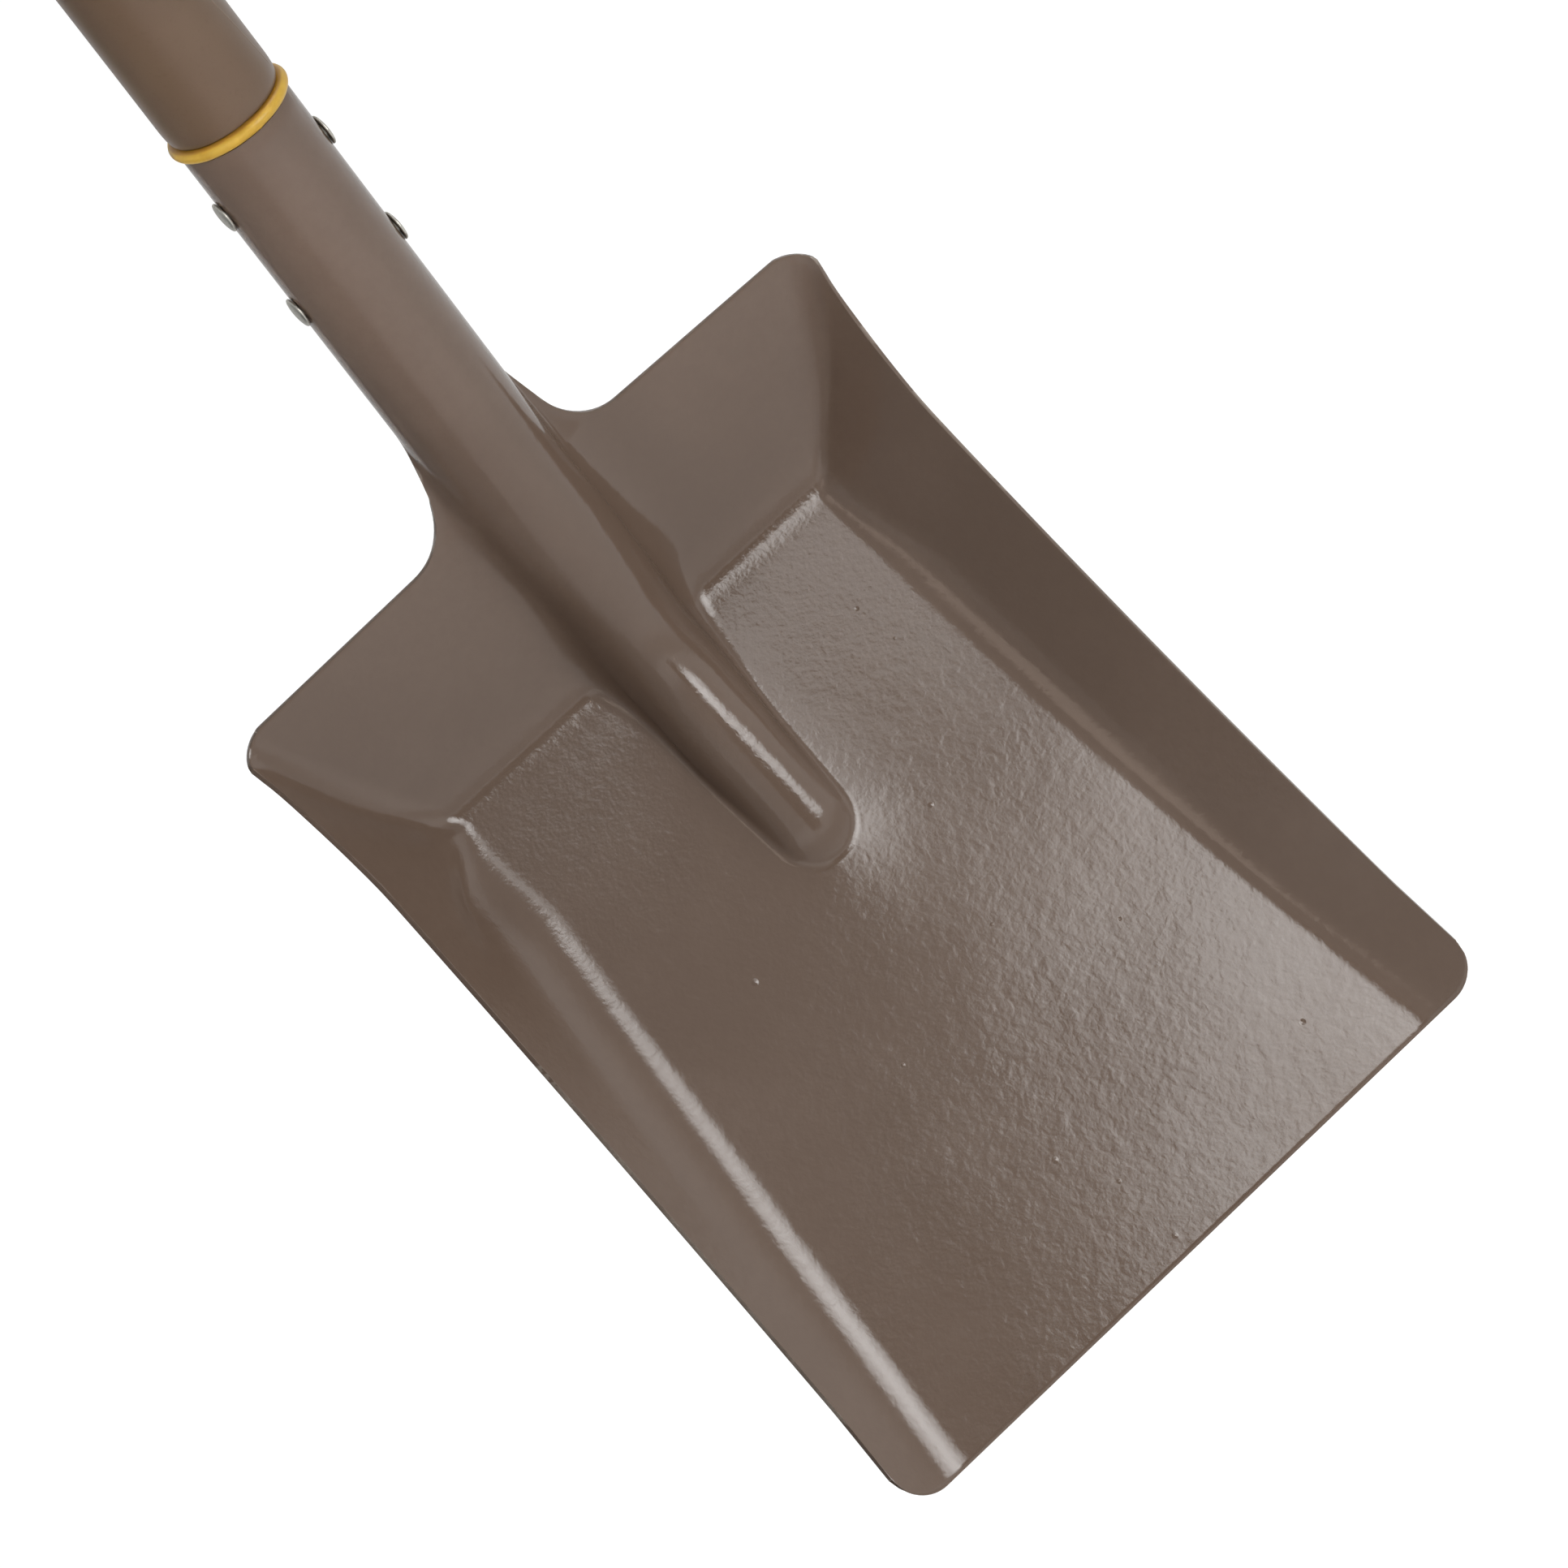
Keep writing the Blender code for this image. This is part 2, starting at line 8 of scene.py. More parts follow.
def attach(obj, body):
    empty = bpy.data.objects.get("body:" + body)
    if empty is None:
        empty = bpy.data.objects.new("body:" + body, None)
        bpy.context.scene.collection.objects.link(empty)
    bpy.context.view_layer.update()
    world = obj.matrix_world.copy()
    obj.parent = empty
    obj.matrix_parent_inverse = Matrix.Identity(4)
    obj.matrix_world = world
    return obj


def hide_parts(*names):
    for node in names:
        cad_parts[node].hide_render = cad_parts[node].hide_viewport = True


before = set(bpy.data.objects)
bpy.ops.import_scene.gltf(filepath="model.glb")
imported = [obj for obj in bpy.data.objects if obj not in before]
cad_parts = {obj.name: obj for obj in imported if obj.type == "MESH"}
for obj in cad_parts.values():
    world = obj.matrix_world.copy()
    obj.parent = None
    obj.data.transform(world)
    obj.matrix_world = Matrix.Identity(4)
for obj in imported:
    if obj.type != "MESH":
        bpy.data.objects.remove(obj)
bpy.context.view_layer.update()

# Sizes in metres. Places along the sheet and the shaft are measured from the heel, where the pan's
# floor folds into its back wall; the world's origin is HANG_POINT above it. A pair named GROWS, FADES
# or ACROSS holds the place where a change starts and the place where it is complete; for LEFT_INSET these
# are shares of the floor's length. A CURVE or SHARE is a plain number.
HANG_POINT = 0.7699
CLEARANCE = 0.0003

LIFT = math.radians(38.6)
SHEET = 0.0018
FLOOR_LENGTH = 0.252
FLOOR_HALF_AT_HEEL = 0.0755
MOUTH_HALF = 0.1222
MOUTH_TRIM = 0.0004
MOUTH_ROLL = 0.0018
MOUTH_ROLL_DEPTH = 0.0004
MOUTH_CORNER = 0.012
MOUTH_CORNER_FADE = 0.040
WAIST_HALF = 0.1130
WAIST_UP = -0.008
WAIST_CURVE = 0.45
SHOULDER_HALF = 0.1180
SHOULDER_UP = 0.0750
SHOULDER_CURVE = 1.7
SHOULDER_CORNER = 0.0105
SHOULDER_CORNER_FADE = 0.030
SHOULDER_CREASE_INSET = 0.008
WALL_AT_MOUTH = 0.007
WALL_AT_SHOULDER = 0.047
WALL_TOP_CURVE = 0.35
HEEL_START = -0.0044
HEEL_FOLD = ((0.050, math.radians(8.0)), (0.012, math.radians(20.0)), (0.045, math.radians(16.5)))
FLOOR_WAVES = ((0.00006, 55.0, 38.0, 0.0), (0.00004, -31.0, 83.0, 1.0))
FLOOR_WAVES_FADE = 0.020

# The bends between the floor and the side walls; the left and right walls were not pressed quite alike.
RIGHT_START_AT_MOUTH = 0.0965
RIGHT_START_CURVE = 1.5
RIGHT_BEND = 0.020
RIGHT_BEND_AT_MOUTH = 0.030
RIGHT_BEND_GROWS = (-0.18, -0.25)
RIGHT_BEND_AT_HEEL = 0.009
RIGHT_HEEL_REACH = 0.035
LEFT_START_AT_MOUTH = 0.1005
LEFT_INSET = 0.0062
LEFT_INSET_GROWS = (0.04, 0.18)
LEFT_INSET_SHARE_AT_MOUTH = 0.15
LEFT_BEND = 0.030
LEFT_BEND_AT_HEEL = 0.0135
LEFT_HEEL_REACH = 0.024
BACK_BEND = 0.018
BACK_BEND_GROWS = (0.003, 0.033)
FIRST_FILLET_SHARE = 0.3
LARGEST_FILLET_SHARE = 0.45
FILLET_ROUNDS = 4
BEND_MARGIN = 0.0015
BEND_LIMIT_SHARE = 0.92

RIB_HEIGHT = 0.0065
RIB_HALF = 0.0135
RIB_LENGTH = 0.087
RIB_NOSE = 0.015
NOSE_START = RIB_NOSE - RIB_LENGTH
NOSE_SLOPE = 0.23
RIB_FULL_WIDTH_UP = 0.060
RIB_CREST_BEND = 0.0123
CREST_BEND_START = 0.030
CREST_ROUNDING = 0.014
RIB_FOOT = 0.0023
NECK_FOOT = 0.0075
NECK_FOOT_GROWS = (-0.036, 0.038)
NECK_FOOT_STRETCH = 1.7
NECK_FOOT_STRETCH_GROWS = (0.0, 0.050)
RIB_FLATTER = 1.2
RIB_FLATTER_GROWS = (-0.015, -0.055)
RIB_SWELL = 0.0007
RIB_SWELL_REACH = 0.0110
LEAN_ON_FLOOR = 0.0016
LEAN_AT_HEEL = 0.0034
LEAN_GROWS = (-0.050, -0.005)
LEAN_FADES = (0.090, 0.030)
LEAN_ACROSS = (0.052, 0.022)
RIB_TILT = 0.09
TILT_GROWS = (-0.065, -0.020)
TILT_FADES = (0.090, 0.040)

SOCKET_RADIUS = 0.0192
SOCKET_TOP = 0.232
SEAM_TURN = 0.0012 / (2 * SOCKET_RADIUS)
BACK_EDGE = 0.0769
NECK_HALF = SOCKET_RADIUS + 0.0082
NECK_RADIUS = 0.015
NECK_TAPER = 0.23
LEAST_WEB = 0.0004
WRAP_START = 0.098
WRAP_END = 0.150
WRAP_EVENNESS = 0.6

LOWER_RIVET = 0.171
UPPER_RIVET = 0.210
RIVET_SHANK = 0.0024
RIVET_HEAD = 0.0052
RIVET_DOME = 0.0015
RIVET_EDGE = 0.0005
RIVET_CHAMFER = 0.00015
RIVET_FLAT_DEPTH = 0.00008
RIVET_FLAT_SHARE = 0.22

CORE_RADIUS = SOCKET_RADIUS - SHEET - CLEARANCE
BORE_RADIUS = CORE_RADIUS + CLEARANCE
SLEEVE_RADIUS = SOCKET_RADIUS + 0.0004
SLEEVE_END_RADIUS = SLEEVE_RADIUS - 0.0012
SLEEVE_END_LENGTH = 0.007
SLEEVE_END_CURVE = 0.8
SLEEVE_LENGTH = 0.362
SLEEVE_RIM_START = 0.001
SLEEVE_RIM = ((0.0002, 0.0003), (0.0006, 0.0))
SLEEVE_UNEVENNESS = 0.00006
SLEEVE_TWIST = 40.0
RING_BEAD = 0.0020
RING_RADIUS = SOCKET_RADIUS + 0.0018
RING_FLAT_SHARE = 0.9
RING_UNEVENNESS = 0.00008
RING_BOTTOM = SOCKET_TOP + CLEARANCE
SLEEVE_BOTTOM = RING_BOTTOM + 2 * RING_BEAD + CLEARANCE
SLEEVE_TOP = SLEEVE_BOTTOM + SLEEVE_LENGTH

FLASH_TURN = math.radians(4.2)
FLASH_UP = RING_BOTTOM + 0.0006
FLASH_HEIGHT = 0.0004
FLASH_REACH = 0.0009
FLASH_FLATNESS = 1.6

COLLAR_BOTTOM = SLEEVE_TOP + CLEARANCE
GRIP_COLLAR_RADIUS = BORE_RADIUS + 0.0051
GRIP_COLLAR_LENGTH = 0.064
GRIP_SHOULDER = 0.027
GRIP_CHAMFER = 0.0015
GRIP_HALF_WIDTH = 0.042

# The grip's collar ends in a dome, from its middle outwards: shares of its radius and of its length. An arm
# of the loop, from the bar down to the yoke: how far out, how far up, and how thick, in shares.
GRIP_DOME_TOP = 0.15
GRIP_DOME_LENGTH = 1.2
GRIP_DOME = ((0.0, 0.0), (0.30, 0.005), (0.55, 0.03), (0.69, 0.11), (0.80, 0.25), (0.875, 0.40),
             (0.93, 0.56), (0.975, 0.78), (1.0, 1.0))
BAR_RADIUS = 0.0150
BAR_END_SHARE = 0.62
ARM_RADIUS = 0.0115
GRIP_ARM = ((1.0, 1.0, 1.1), (1.0, 0.7525, 1.0), (0.62, 0.42, 1.0), (0.34, 0.22, 1.1), (0.16, 0.0, 1.2))
YOKE_TOP = COLLAR_BOTTOM + GRIP_COLLAR_LENGTH + GRIP_SHOULDER
GRIP_RIVET = COLLAR_BOTTOM + 0.034
GRIP_RIVET_HEAD = 0.0048
GRIP_VOXEL = 0.0011

ALONG_FLOOR = Vector((0.0, math.sin(LIFT), math.cos(LIFT)))
OUT_OF_FLOOR = Vector((0.0, -math.cos(LIFT), math.sin(LIFT)))
UP_SHAFT = Vector((0.0, 0.0, 1.0))
OUT_OF_SHAFT = Vector((0.0, -1.0, 0.0))
HEEL = Vector((0.0, 0.0, -HANG_POINT))


def mix(a, b, share):
    return a + (b - a) * share


def smooth(share):
    share = min(max(share, 0.0), 1.0)
    return share * share * (3.0 - 2.0 * share)


def eased(value, change):
    """0 where the change starts, 1 where it is complete, and eased between the two."""
    start, end = change
    return smooth((value - start) / (end - start))


def bend(start, corner, end, share):
    """A point on the quadratic curve that rounds a corner."""
    return start * (1 - share) ** 2 + corner * (2 * share * (1 - share)) + end * share ** 2


def steps(start, end, count):
    """Even steps from start to end, without the start."""
    return [mix(start, end, (step + 1) / count) for step in range(count)]


def rows_through(start, stops):
    """Row places from the start through each stop: a place, and the number of rows that lead to it."""
    rows = [start]
    for place, count in stops:
        rows += steps(rows[-1], place, count)
    return rows


def even_turns(count):
    return [2 * math.pi * step / count for step in range(count)]


# The head's sheet: one loft of half sections, as the press makes it

def heel_curve(share):
    """The fold from the floor to the back wall: easy at first, then crisp, then easy again."""
    travel = share * sum(radius * turn for radius, turn in HEEL_FOLD)
    place = ALONG_FLOOR * HEEL_START
    start = 0.0
    for radius, turn in HEEL_FOLD:
        end = start + min(max(travel / radius, 0.0), turn)
        place = place + ALONG_FLOOR * (radius * (math.sin(end) - math.sin(start)))
        place = place + OUT_OF_FLOOR * (radius * (math.cos(start) - math.cos(end)))
        travel -= radius * turn
        start = end
    return place


HEEL_TOP = heel_curve(1.0)


def base_line(along):
    """The sheet's front face beside the rib: the floor, the fold, the back wall and the shaft's line."""
    if along <= HEEL_START:
        return ALONG_FLOOR * along
    if along < HEEL_TOP.z:
        return heel_curve((along - HEEL_START) / (HEEL_TOP.z - HEEL_START))
    below_edge = max(BACK_EDGE - along, 0.0) / (BACK_EDGE - HEEL_TOP.z)
    return UP_SHAFT * along - OUT_OF_SHAFT * (HEEL_TOP.y * below_edge ** 2)


def crest_line(along):
    """The rib's crest: the socket's front line, bent where it comes down to the floor."""
    if along >= CREST_BEND_START:
        return UP_SHAFT * along + OUT_OF_SHAFT * SOCKET_RADIUS
    start = UP_SHAFT * CREST_BEND_START + OUT_OF_SHAFT * SOCKET_RADIUS
    corner = UP_SHAFT * RIB_CREST_BEND + OUT_OF_SHAFT * SOCKET_RADIUS
    end = ALONG_FLOOR * NOSE_START + OUT_OF_FLOOR * RIB_HEIGHT
    upper = (corner - start).length
    lower = (end - corner).length
    travel = (CREST_BEND_START - along) / (CREST_BEND_START - NOSE_START) * (upper + lower)
    if travel < upper - CREST_ROUNDING:
        return start.lerp(corner, travel / upper)
    if travel > upper + CREST_ROUNDING:
        return corner.lerp(end, (travel - upper) / lower)
    share = (travel - upper + CREST_ROUNDING) / (2 * CREST_ROUNDING)
    leaving = corner.lerp(start, CREST_ROUNDING / upper)
    arriving = corner.lerp(end, CREST_ROUNDING / lower)
    return bend(leaving, corner, arriving, share)


def rib_half(along):
    """Half the rib's width: as wide as the socket at the neck, narrower down the floor."""
    up = (max(along, NOSE_START) - NOSE_START) / (RIB_FULL_WIDTH_UP - NOSE_START)
    return mix(RIB_HALF, SOCKET_RADIUS, min(up, 1.0))


def rib_section(height, half, foot, arc_count, foot_count, stretch=1.0):
    """The rib's round top and the fillet at its foot: half widths and heights, from the crest outwards.

    The foot is how much of the round top the fillet takes up, and the stretch draws it out over the web.
    """
    arc_end = min(2 * math.atan2(height, half), math.radians(90.0))
    across = half / math.sin(arc_end)
    up = height / (1.0 - math.cos(arc_end))
    foot_start = arc_end - foot / across
    points = []
    for step in range(arc_count):
        turn = foot_start * step / (arc_count - 1)
        points.append((across * math.sin(turn), up * (math.cos(turn) - math.cos(arc_end))))
    foot_x, foot_height = points[-1]
    corner = foot_x + foot_height * across * math.cos(foot_start) / (up * math.sin(foot_start))
    reach = corner + stretch * math.hypot(corner - foot_x, foot_height)
    for step in range(foot_count):
        share = (step + 1) / foot_count
        points.append((bend(foot_x, corner, reach, share), bend(foot_height, 0.0, 0.0, share)))
    return points


def flatter(points, share):
    """The same section with its top pressed a little flatter, most where share is 1."""
    top = points[0][1]
    power = mix(1.0, RIB_FLATTER, share)
    return [(x, top * (1.0 - max(1.0 - z / top, 0.0) ** power)) for x, z in points]


def web_edge(along):
    """Half the sheet's width just above the pan, where a fillet joins the back edge to the socket."""
    above_edge = max(along - BACK_EDGE, 0.0)
    left_to_turn = max(NECK_RADIUS - above_edge, 0.0)
    rounding = NECK_RADIUS - math.sqrt(NECK_RADIUS ** 2 - left_to_turn ** 2)
    return NECK_HALF + rounding - NECK_TAPER * above_edge


def side_edge(along):
    """Half the width over the side walls' top edges, and the walls' rise above the base line."""
    place = base_line(along)
    up, above = place.dot(ALONG_FLOOR), place.dot(OUT_OF_FLOOR)
    shoulder_up = SHOULDER_UP * math.cos(LIFT)
    share = (up + FLOOR_LENGTH) / (shoulder_up + FLOOR_LENGTH)
    top = mix(WALL_AT_MOUTH, WALL_AT_SHOULDER, mix(share, share ** 3, WALL_TOP_CURVE))
    if up < WAIST_UP:
        down = (WAIST_UP - up) / (FLOOR_LENGTH + WAIST_UP)
        half = mix(WAIST_HALF, MOUTH_HALF, mix(down, down ** 2, WAIST_CURVE))
    else:
        share = (up - WAIST_UP) / (shoulder_up - WAIST_UP)
        half = mix(WAIST_HALF, SHOULDER_HALF, share ** SHOULDER_CURVE)
    return half, max(top - above, 0.0)


def crease(along, side):
    """Half the width to the line where a side wall starts to bend up; on the left it is further in."""
    if along >= 0:
        half_at_shoulder = SHOULDER_HALF - SHOULDER_CREASE_INSET
        return mix(FLOOR_HALF_AT_HEEL, half_at_shoulder, min(along / SHOULDER_UP, 1.0))
    down = min(-along / FLOOR_LENGTH, 1.0)
    if side > 0:
        return mix(FLOOR_HALF_AT_HEEL, RIGHT_START_AT_MOUTH, down ** RIGHT_START_CURVE)
    inset = LEFT_INSET * eased(down, LEFT_INSET_GROWS) * mix(1.0, LEFT_INSET_SHARE_AT_MOUTH, down)
    return mix(FLOOR_HALF_AT_HEEL, LEFT_START_AT_MOUTH, down) - inset


def ramp(distance, fillet):
    """A straight slope that starts at 0, with its foot rounded over twice the fillet."""
    if distance <= -fillet:
        return 0.0
    if distance >= fillet:
        return distance
    return (distance + fillet) ** 2 / (4 * fillet)


ARC_COUNT = 17
FOOT_COUNT = 8
WEB_SHARES = steps(0.0, 0.20, 6) + steps(0.20, 0.50, 5) + steps(0.50, 1.0, 7)
PLATE_SHARES = steps(0.0, 0.82, 13) + steps(0.82, 1.0, 8)
FILLET_SHARES = steps(0.0, 1.0, 16)
WALL_SHARES = steps(0.0, 0.8, 8) + steps(0.8, 1.0, 6)
NOSE_SECTION = flatter(rib_section(RIB_HEIGHT, RIB_HALF, RIB_FOOT, arc_count=60, foot_count=30), 1.0)


def nose_height(x, along):
    """The height on the rib's round nose: its section, turned about the place where the nose starts."""
    past = NOSE_START - along
    out = math.hypot(x, past * RIB_HALF / RIB_NOSE)
    for (inner, high), (outer, low) in zip(NOSE_SECTION, NOSE_SECTION[1:]):
        if out <= outer:
            height = mix(high, low, (out - inner) / (outer - inner))
            return height * (1.0 - past * NOSE_SLOPE / RIB_HEIGHT)
    return 0.0


def tongue_section(along):
    """The rib and the web beside it, or the socket: half widths and heights."""
    height = RIB_HEIGHT
    if along > NOSE_START:
        height = max((crest_line(along) - base_line(along)).length, RIB_HEIGHT)
    foot = mix(RIB_FOOT, NECK_FOOT, eased(along, NECK_FOOT_GROWS))
    stretch = mix(1.0, NECK_FOOT_STRETCH, eased(along, NECK_FOOT_STRETCH_GROWS))
    rib = rib_section(height, rib_half(along), foot, ARC_COUNT, FOOT_COUNT, stretch)
    rib = flatter(rib, eased(along, RIB_FLATTER_GROWS))
    arc_x, arc_height = rib[ARC_COUNT - 1]
    web_end = max(web_edge(along), arc_x + LEAST_WEB)
    squeeze = min((web_end - arc_x) / (rib[-1][0] + LEAST_WEB / 2 - arc_x), 1.0)
    points = rib[:ARC_COUNT]
    flat = [(arc_x + (x - arc_x) * squeeze, z) for x, z in rib[ARC_COUNT:]]
    flat += [(mix(flat[-1][0], web_end, share), 0.0) for share in WEB_SHARES]
    if along <= NOSE_START:
        return [(x, nose_height(x, along)) for x, _ in points + flat]
    wrap_share = eased(along, (WRAP_START, WRAP_END))
    arc_turn = math.atan2(arc_x, arc_height)
    for number, (x, z) in enumerate(flat, start=1):
        share = (x - arc_x) / (web_end - arc_x)
        wrapped = mix(arc_turn, math.pi - SEAM_TURN, mix(share, number / len(flat), WRAP_EVENNESS))
        turn = mix(math.atan2(x, z), wrapped, wrap_share)
        radius = mix(math.hypot(x, z), SOCKET_RADIUS, wrap_share)
        if wrap_share > 0:
            radius = max(radius, SOCKET_RADIUS)
        points.append((radius * math.sin(turn), radius * math.cos(turn)))
    return points


def floor_shape(x, along):
    """The floor's rise round the rib's foot, its slow waves, and its turn down at the mouth's edge."""
    past = max(NOSE_START - along, 0.0) * RIB_HALF / RIB_NOSE
    from_foot = math.hypot(x, past) - NOSE_SECTION[-1][0]
    swell = RIB_SWELL * math.exp(-max(from_foot, 0.0) / RIB_SWELL_REACH)
    waves = sum(height * math.sin(x * across + along * down + phase)
                for height, across, down, phase in FLOOR_WAVES)
    waves *= smooth(from_foot / FLOOR_WAVES_FADE)
    below_heel = smooth((HEEL_START - along) / FLOOR_WAVES_FADE)
    to_edge = min(max((along + FLOOR_LENGTH - MOUTH_TRIM) / MOUTH_ROLL, 0.0), 1.0)
    return (swell + waves) * below_heel - MOUTH_ROLL_DEPTH * (1.0 - to_edge) ** 2


def bend_radius(along, side):
    """The radius of the bend at a side wall's foot: tightest at the heel's corner."""
    if side < 0:
        radius, at_heel, reach = LEFT_BEND, LEFT_BEND_AT_HEEL, LEFT_HEEL_REACH
    else:
        radius = mix(RIGHT_BEND, RIGHT_BEND_AT_MOUTH, eased(along, RIGHT_BEND_GROWS))
        at_heel, reach = RIGHT_BEND_AT_HEEL, RIGHT_HEEL_REACH
    radius = mix(radius, at_heel, eased(along, (-reach, 0.0)))
    return mix(radius, BACK_BEND, eased(along, BACK_BEND_GROWS))


def wall_section(along, side):
    """A side wall's start, the fold between its floor and its flat, half the bend's width, and its rise."""
    half, rise = side_edge(along)
    start = crease(along, side)
    run = half - start
    radius = bend_radius(along, side)
    fillet = FIRST_FILLET_SHARE * run
    for _ in range(FILLET_ROUNDS):
        half_turn = 0.5 * math.atan2(rise, run - fillet)
        fillet = min(radius * math.tan(half_turn), LARGEST_FILLET_SHARE * run)
    return start, start + fillet, fillet, rise


def pan_columns(along, side):
    """Half widths across the plate and the side wall, outside the web."""
    half, _ = side_edge(along)
    start, fold, fillet, _ = wall_section(along, side)
    inner = start - BEND_MARGIN
    outer = min(fold + fillet, mix(start, half, BEND_LIMIT_SHARE))
    columns = [mix(web_edge(min(along, BACK_EDGE)), inner, share) for share in PLATE_SHARES]
    columns += [mix(inner, outer, share) for share in FILLET_SHARES]
    return columns + [mix(outer, half, share) for share in WALL_SHARES]


def wall_rise(x, along, side):
    """How high a side wall stands over the base line at this half width."""
    half, _ = side_edge(along)
    _, fold, fillet, rise = wall_section(along, side)
    return rise * ramp(x - fold, fillet) / (half - fold)


def corner_cut(x, half, radius):
    """How far a corner of the outline is cut back at this half width."""
    into_corner = max(x - (half - radius), 0.0)
    return radius - math.sqrt(max(radius ** 2 - into_corner ** 2, 0.0))


def trimmed(along, column, side):
    """The row's place on this column, moved so that the mouth and the back edge have round corners."""
    mouth_half, _ = side_edge(-FLOOR_LENGTH)
    back_half, _ = side_edge(SHOULDER_UP)
    at_mouth = pan_columns(-FLOOR_LENGTH, side)[column]
    at_back = pan_columns(SHOULDER_UP, side)[column]
    start = corner_cut(at_mouth, mouth_half, MOUTH_CORNER)
    out = (at_back - web_edge(BACK_EDGE)) / (back_half - web_edge(BACK_EDGE))
    end = (BACK_EDGE - SHOULDER_UP) * out + corner_cut(at_back, back_half, SHOULDER_CORNER)
    along += start * max(1.0 - (along + FLOOR_LENGTH) / MOUTH_CORNER_FADE, 0.0)
    along -= end * max(1.0 - (BACK_EDGE - along) / SHOULDER_CORNER_FADE, 0.0)
    return along


def tongue_points(along):
    """A row's points over the rib and the web, or round the socket."""
    base = base_line(along)
    out = OUT_OF_FLOOR if along <= NOSE_START else (crest_line(along) - base).normalized()
    return [base + out * height + Vector((x, 0.0, 0.0)) for x, height in tongue_section(along)]


def pan_points(along, side):
    """A row's points over the plate and the side wall."""
    points = []
    for column, x in enumerate(pan_columns(along, side)):
        place = trimmed(along, column, side)
        points.append(base_line(place) + OUT_OF_FLOOR * wall_rise(x, place, side) + Vector((x, 0.0, 0.0)))
    return points


def leaned(points, along, side):
    """A row's points on one side of the head, leaned to +X with the rib and brought to the heel's place."""
    lean = mix(LEAN_ON_FLOOR, LEAN_AT_HEEL, eased(along, LEAN_GROWS)) * eased(along, LEAN_FADES)
    tilt = RIB_TILT * eased(along, TILT_GROWS) * eased(along, TILT_FADES)
    base = base_line(along)
    row = []
    for point in points:
        x = side * point.x
        place = point + OUT_OF_FLOOR * floor_shape(x, along) if along < HEEL_START else point
        height = math.hypot(point.y - base.y, point.z - base.z)
        shift = (lean - tilt * height) * eased(abs(x), LEAN_ACROSS)
        row.append(Vector((x + shift, place.y, place.z)) + HEEL)
    return row


# The loft's rows: close together at the mouth, the nose and the heel, and up the wrap
MOUTH = -FLOOR_LENGTH + MOUTH_TRIM
PAN_ROWS = rows_through(MOUTH, (
    (MOUTH + MOUTH_ROLL, 5), (MOUTH + 0.010, 4), (-0.110, 34), (-RIB_LENGTH - 0.003, 6),
    (NOSE_START + 0.0015, 24), (HEEL_START, 24), (0.010, 20), (HEEL_TOP.z, 8), (BACK_EDGE, 24)))
NECK_ROWS = [BACK_EDGE + NECK_RADIUS * (1.0 - math.cos(math.radians(90.0 * share)))
             for share in steps(0.0, 1.0, 12)]
SOCKET_ROWS = rows_through(NECK_ROWS[-1], ((WRAP_START, 3), (WRAP_END, 26), (SOCKET_TOP, 14)))[1:]
ROWS = PAN_ROWS + NECK_ROWS + SOCKET_ROWS

NECK_EASE_PASSES = 8
NECK_EASE_FADE = 0.010
NECK_EASE = 0.5
WALL_EASE_PASSES = 60
WALL_EASE_MIDDLE = 0.008
WALL_EASE_FADES = (0.055, 0.025)
WALL_EASE = 0.7
RIM_EASE_MIDDLE = 0.052
RIM_EASE_FADES = (0.026, 0.010)
RIM_EASE = 0.5


def ease_neck(rows):
    """Evens the sheet up the neck, where it starts to wrap, from each row to the next."""
    for _ in range(NECK_EASE_PASSES):
        before = [[point.copy() for point in row] for row in rows]
        for number in range(1, len(rows) - 1):
            above = smooth((ROWS[number] - BACK_EDGE) / NECK_EASE_FADE)
            weight = NECK_EASE * above * smooth((WRAP_END - ROWS[number]) / NECK_EASE_FADE)
            if weight > 0:
                for column in range(len(rows[number])):
                    middle = (before[number - 1][column] + before[number + 1][column]) / 2
                    rows[number][column] = before[number][column].lerp(middle, weight)


def ease_walls(rows):
    """Evens a side wall where the heel would fold it, least at its foot, and its rim below the shoulder."""
    rim = len(rows[0]) - 1
    foot = rim - len(WALL_SHARES)
    for _ in range(WALL_EASE_PASSES):
        before = [[point.copy() for point in row] for row in rows]
        for number in range(1, len(rows) - 1):
            lower, place, upper = ROWS[number - 1:number + 2]
            near = eased(abs(place - WALL_EASE_MIDDLE), WALL_EASE_FADES)
            if near == 0:
                continue
            for column in range(foot - 5, rim + 1):
                inside = eased(column, (foot - 6, foot + 2)) * eased(column, (rim, rim - 2))
                weight = WALL_EASE * near * inside
                if column == rim:
                    weight = RIM_EASE * eased(abs(place - RIM_EASE_MIDDLE), RIM_EASE_FADES)
                below, above = before[number - 1][column], before[number + 1][column]
                middle = below.lerp(above, (place - lower) / (upper - lower))
                rows[number][column] = before[number][column].lerp(middle, weight)


def made_mesh(name, shape):
    """The mesh of a finished shape."""
    mesh = bpy.data.meshes.new(name)
    shape.to_mesh(mesh)
    shape.free()
    return mesh


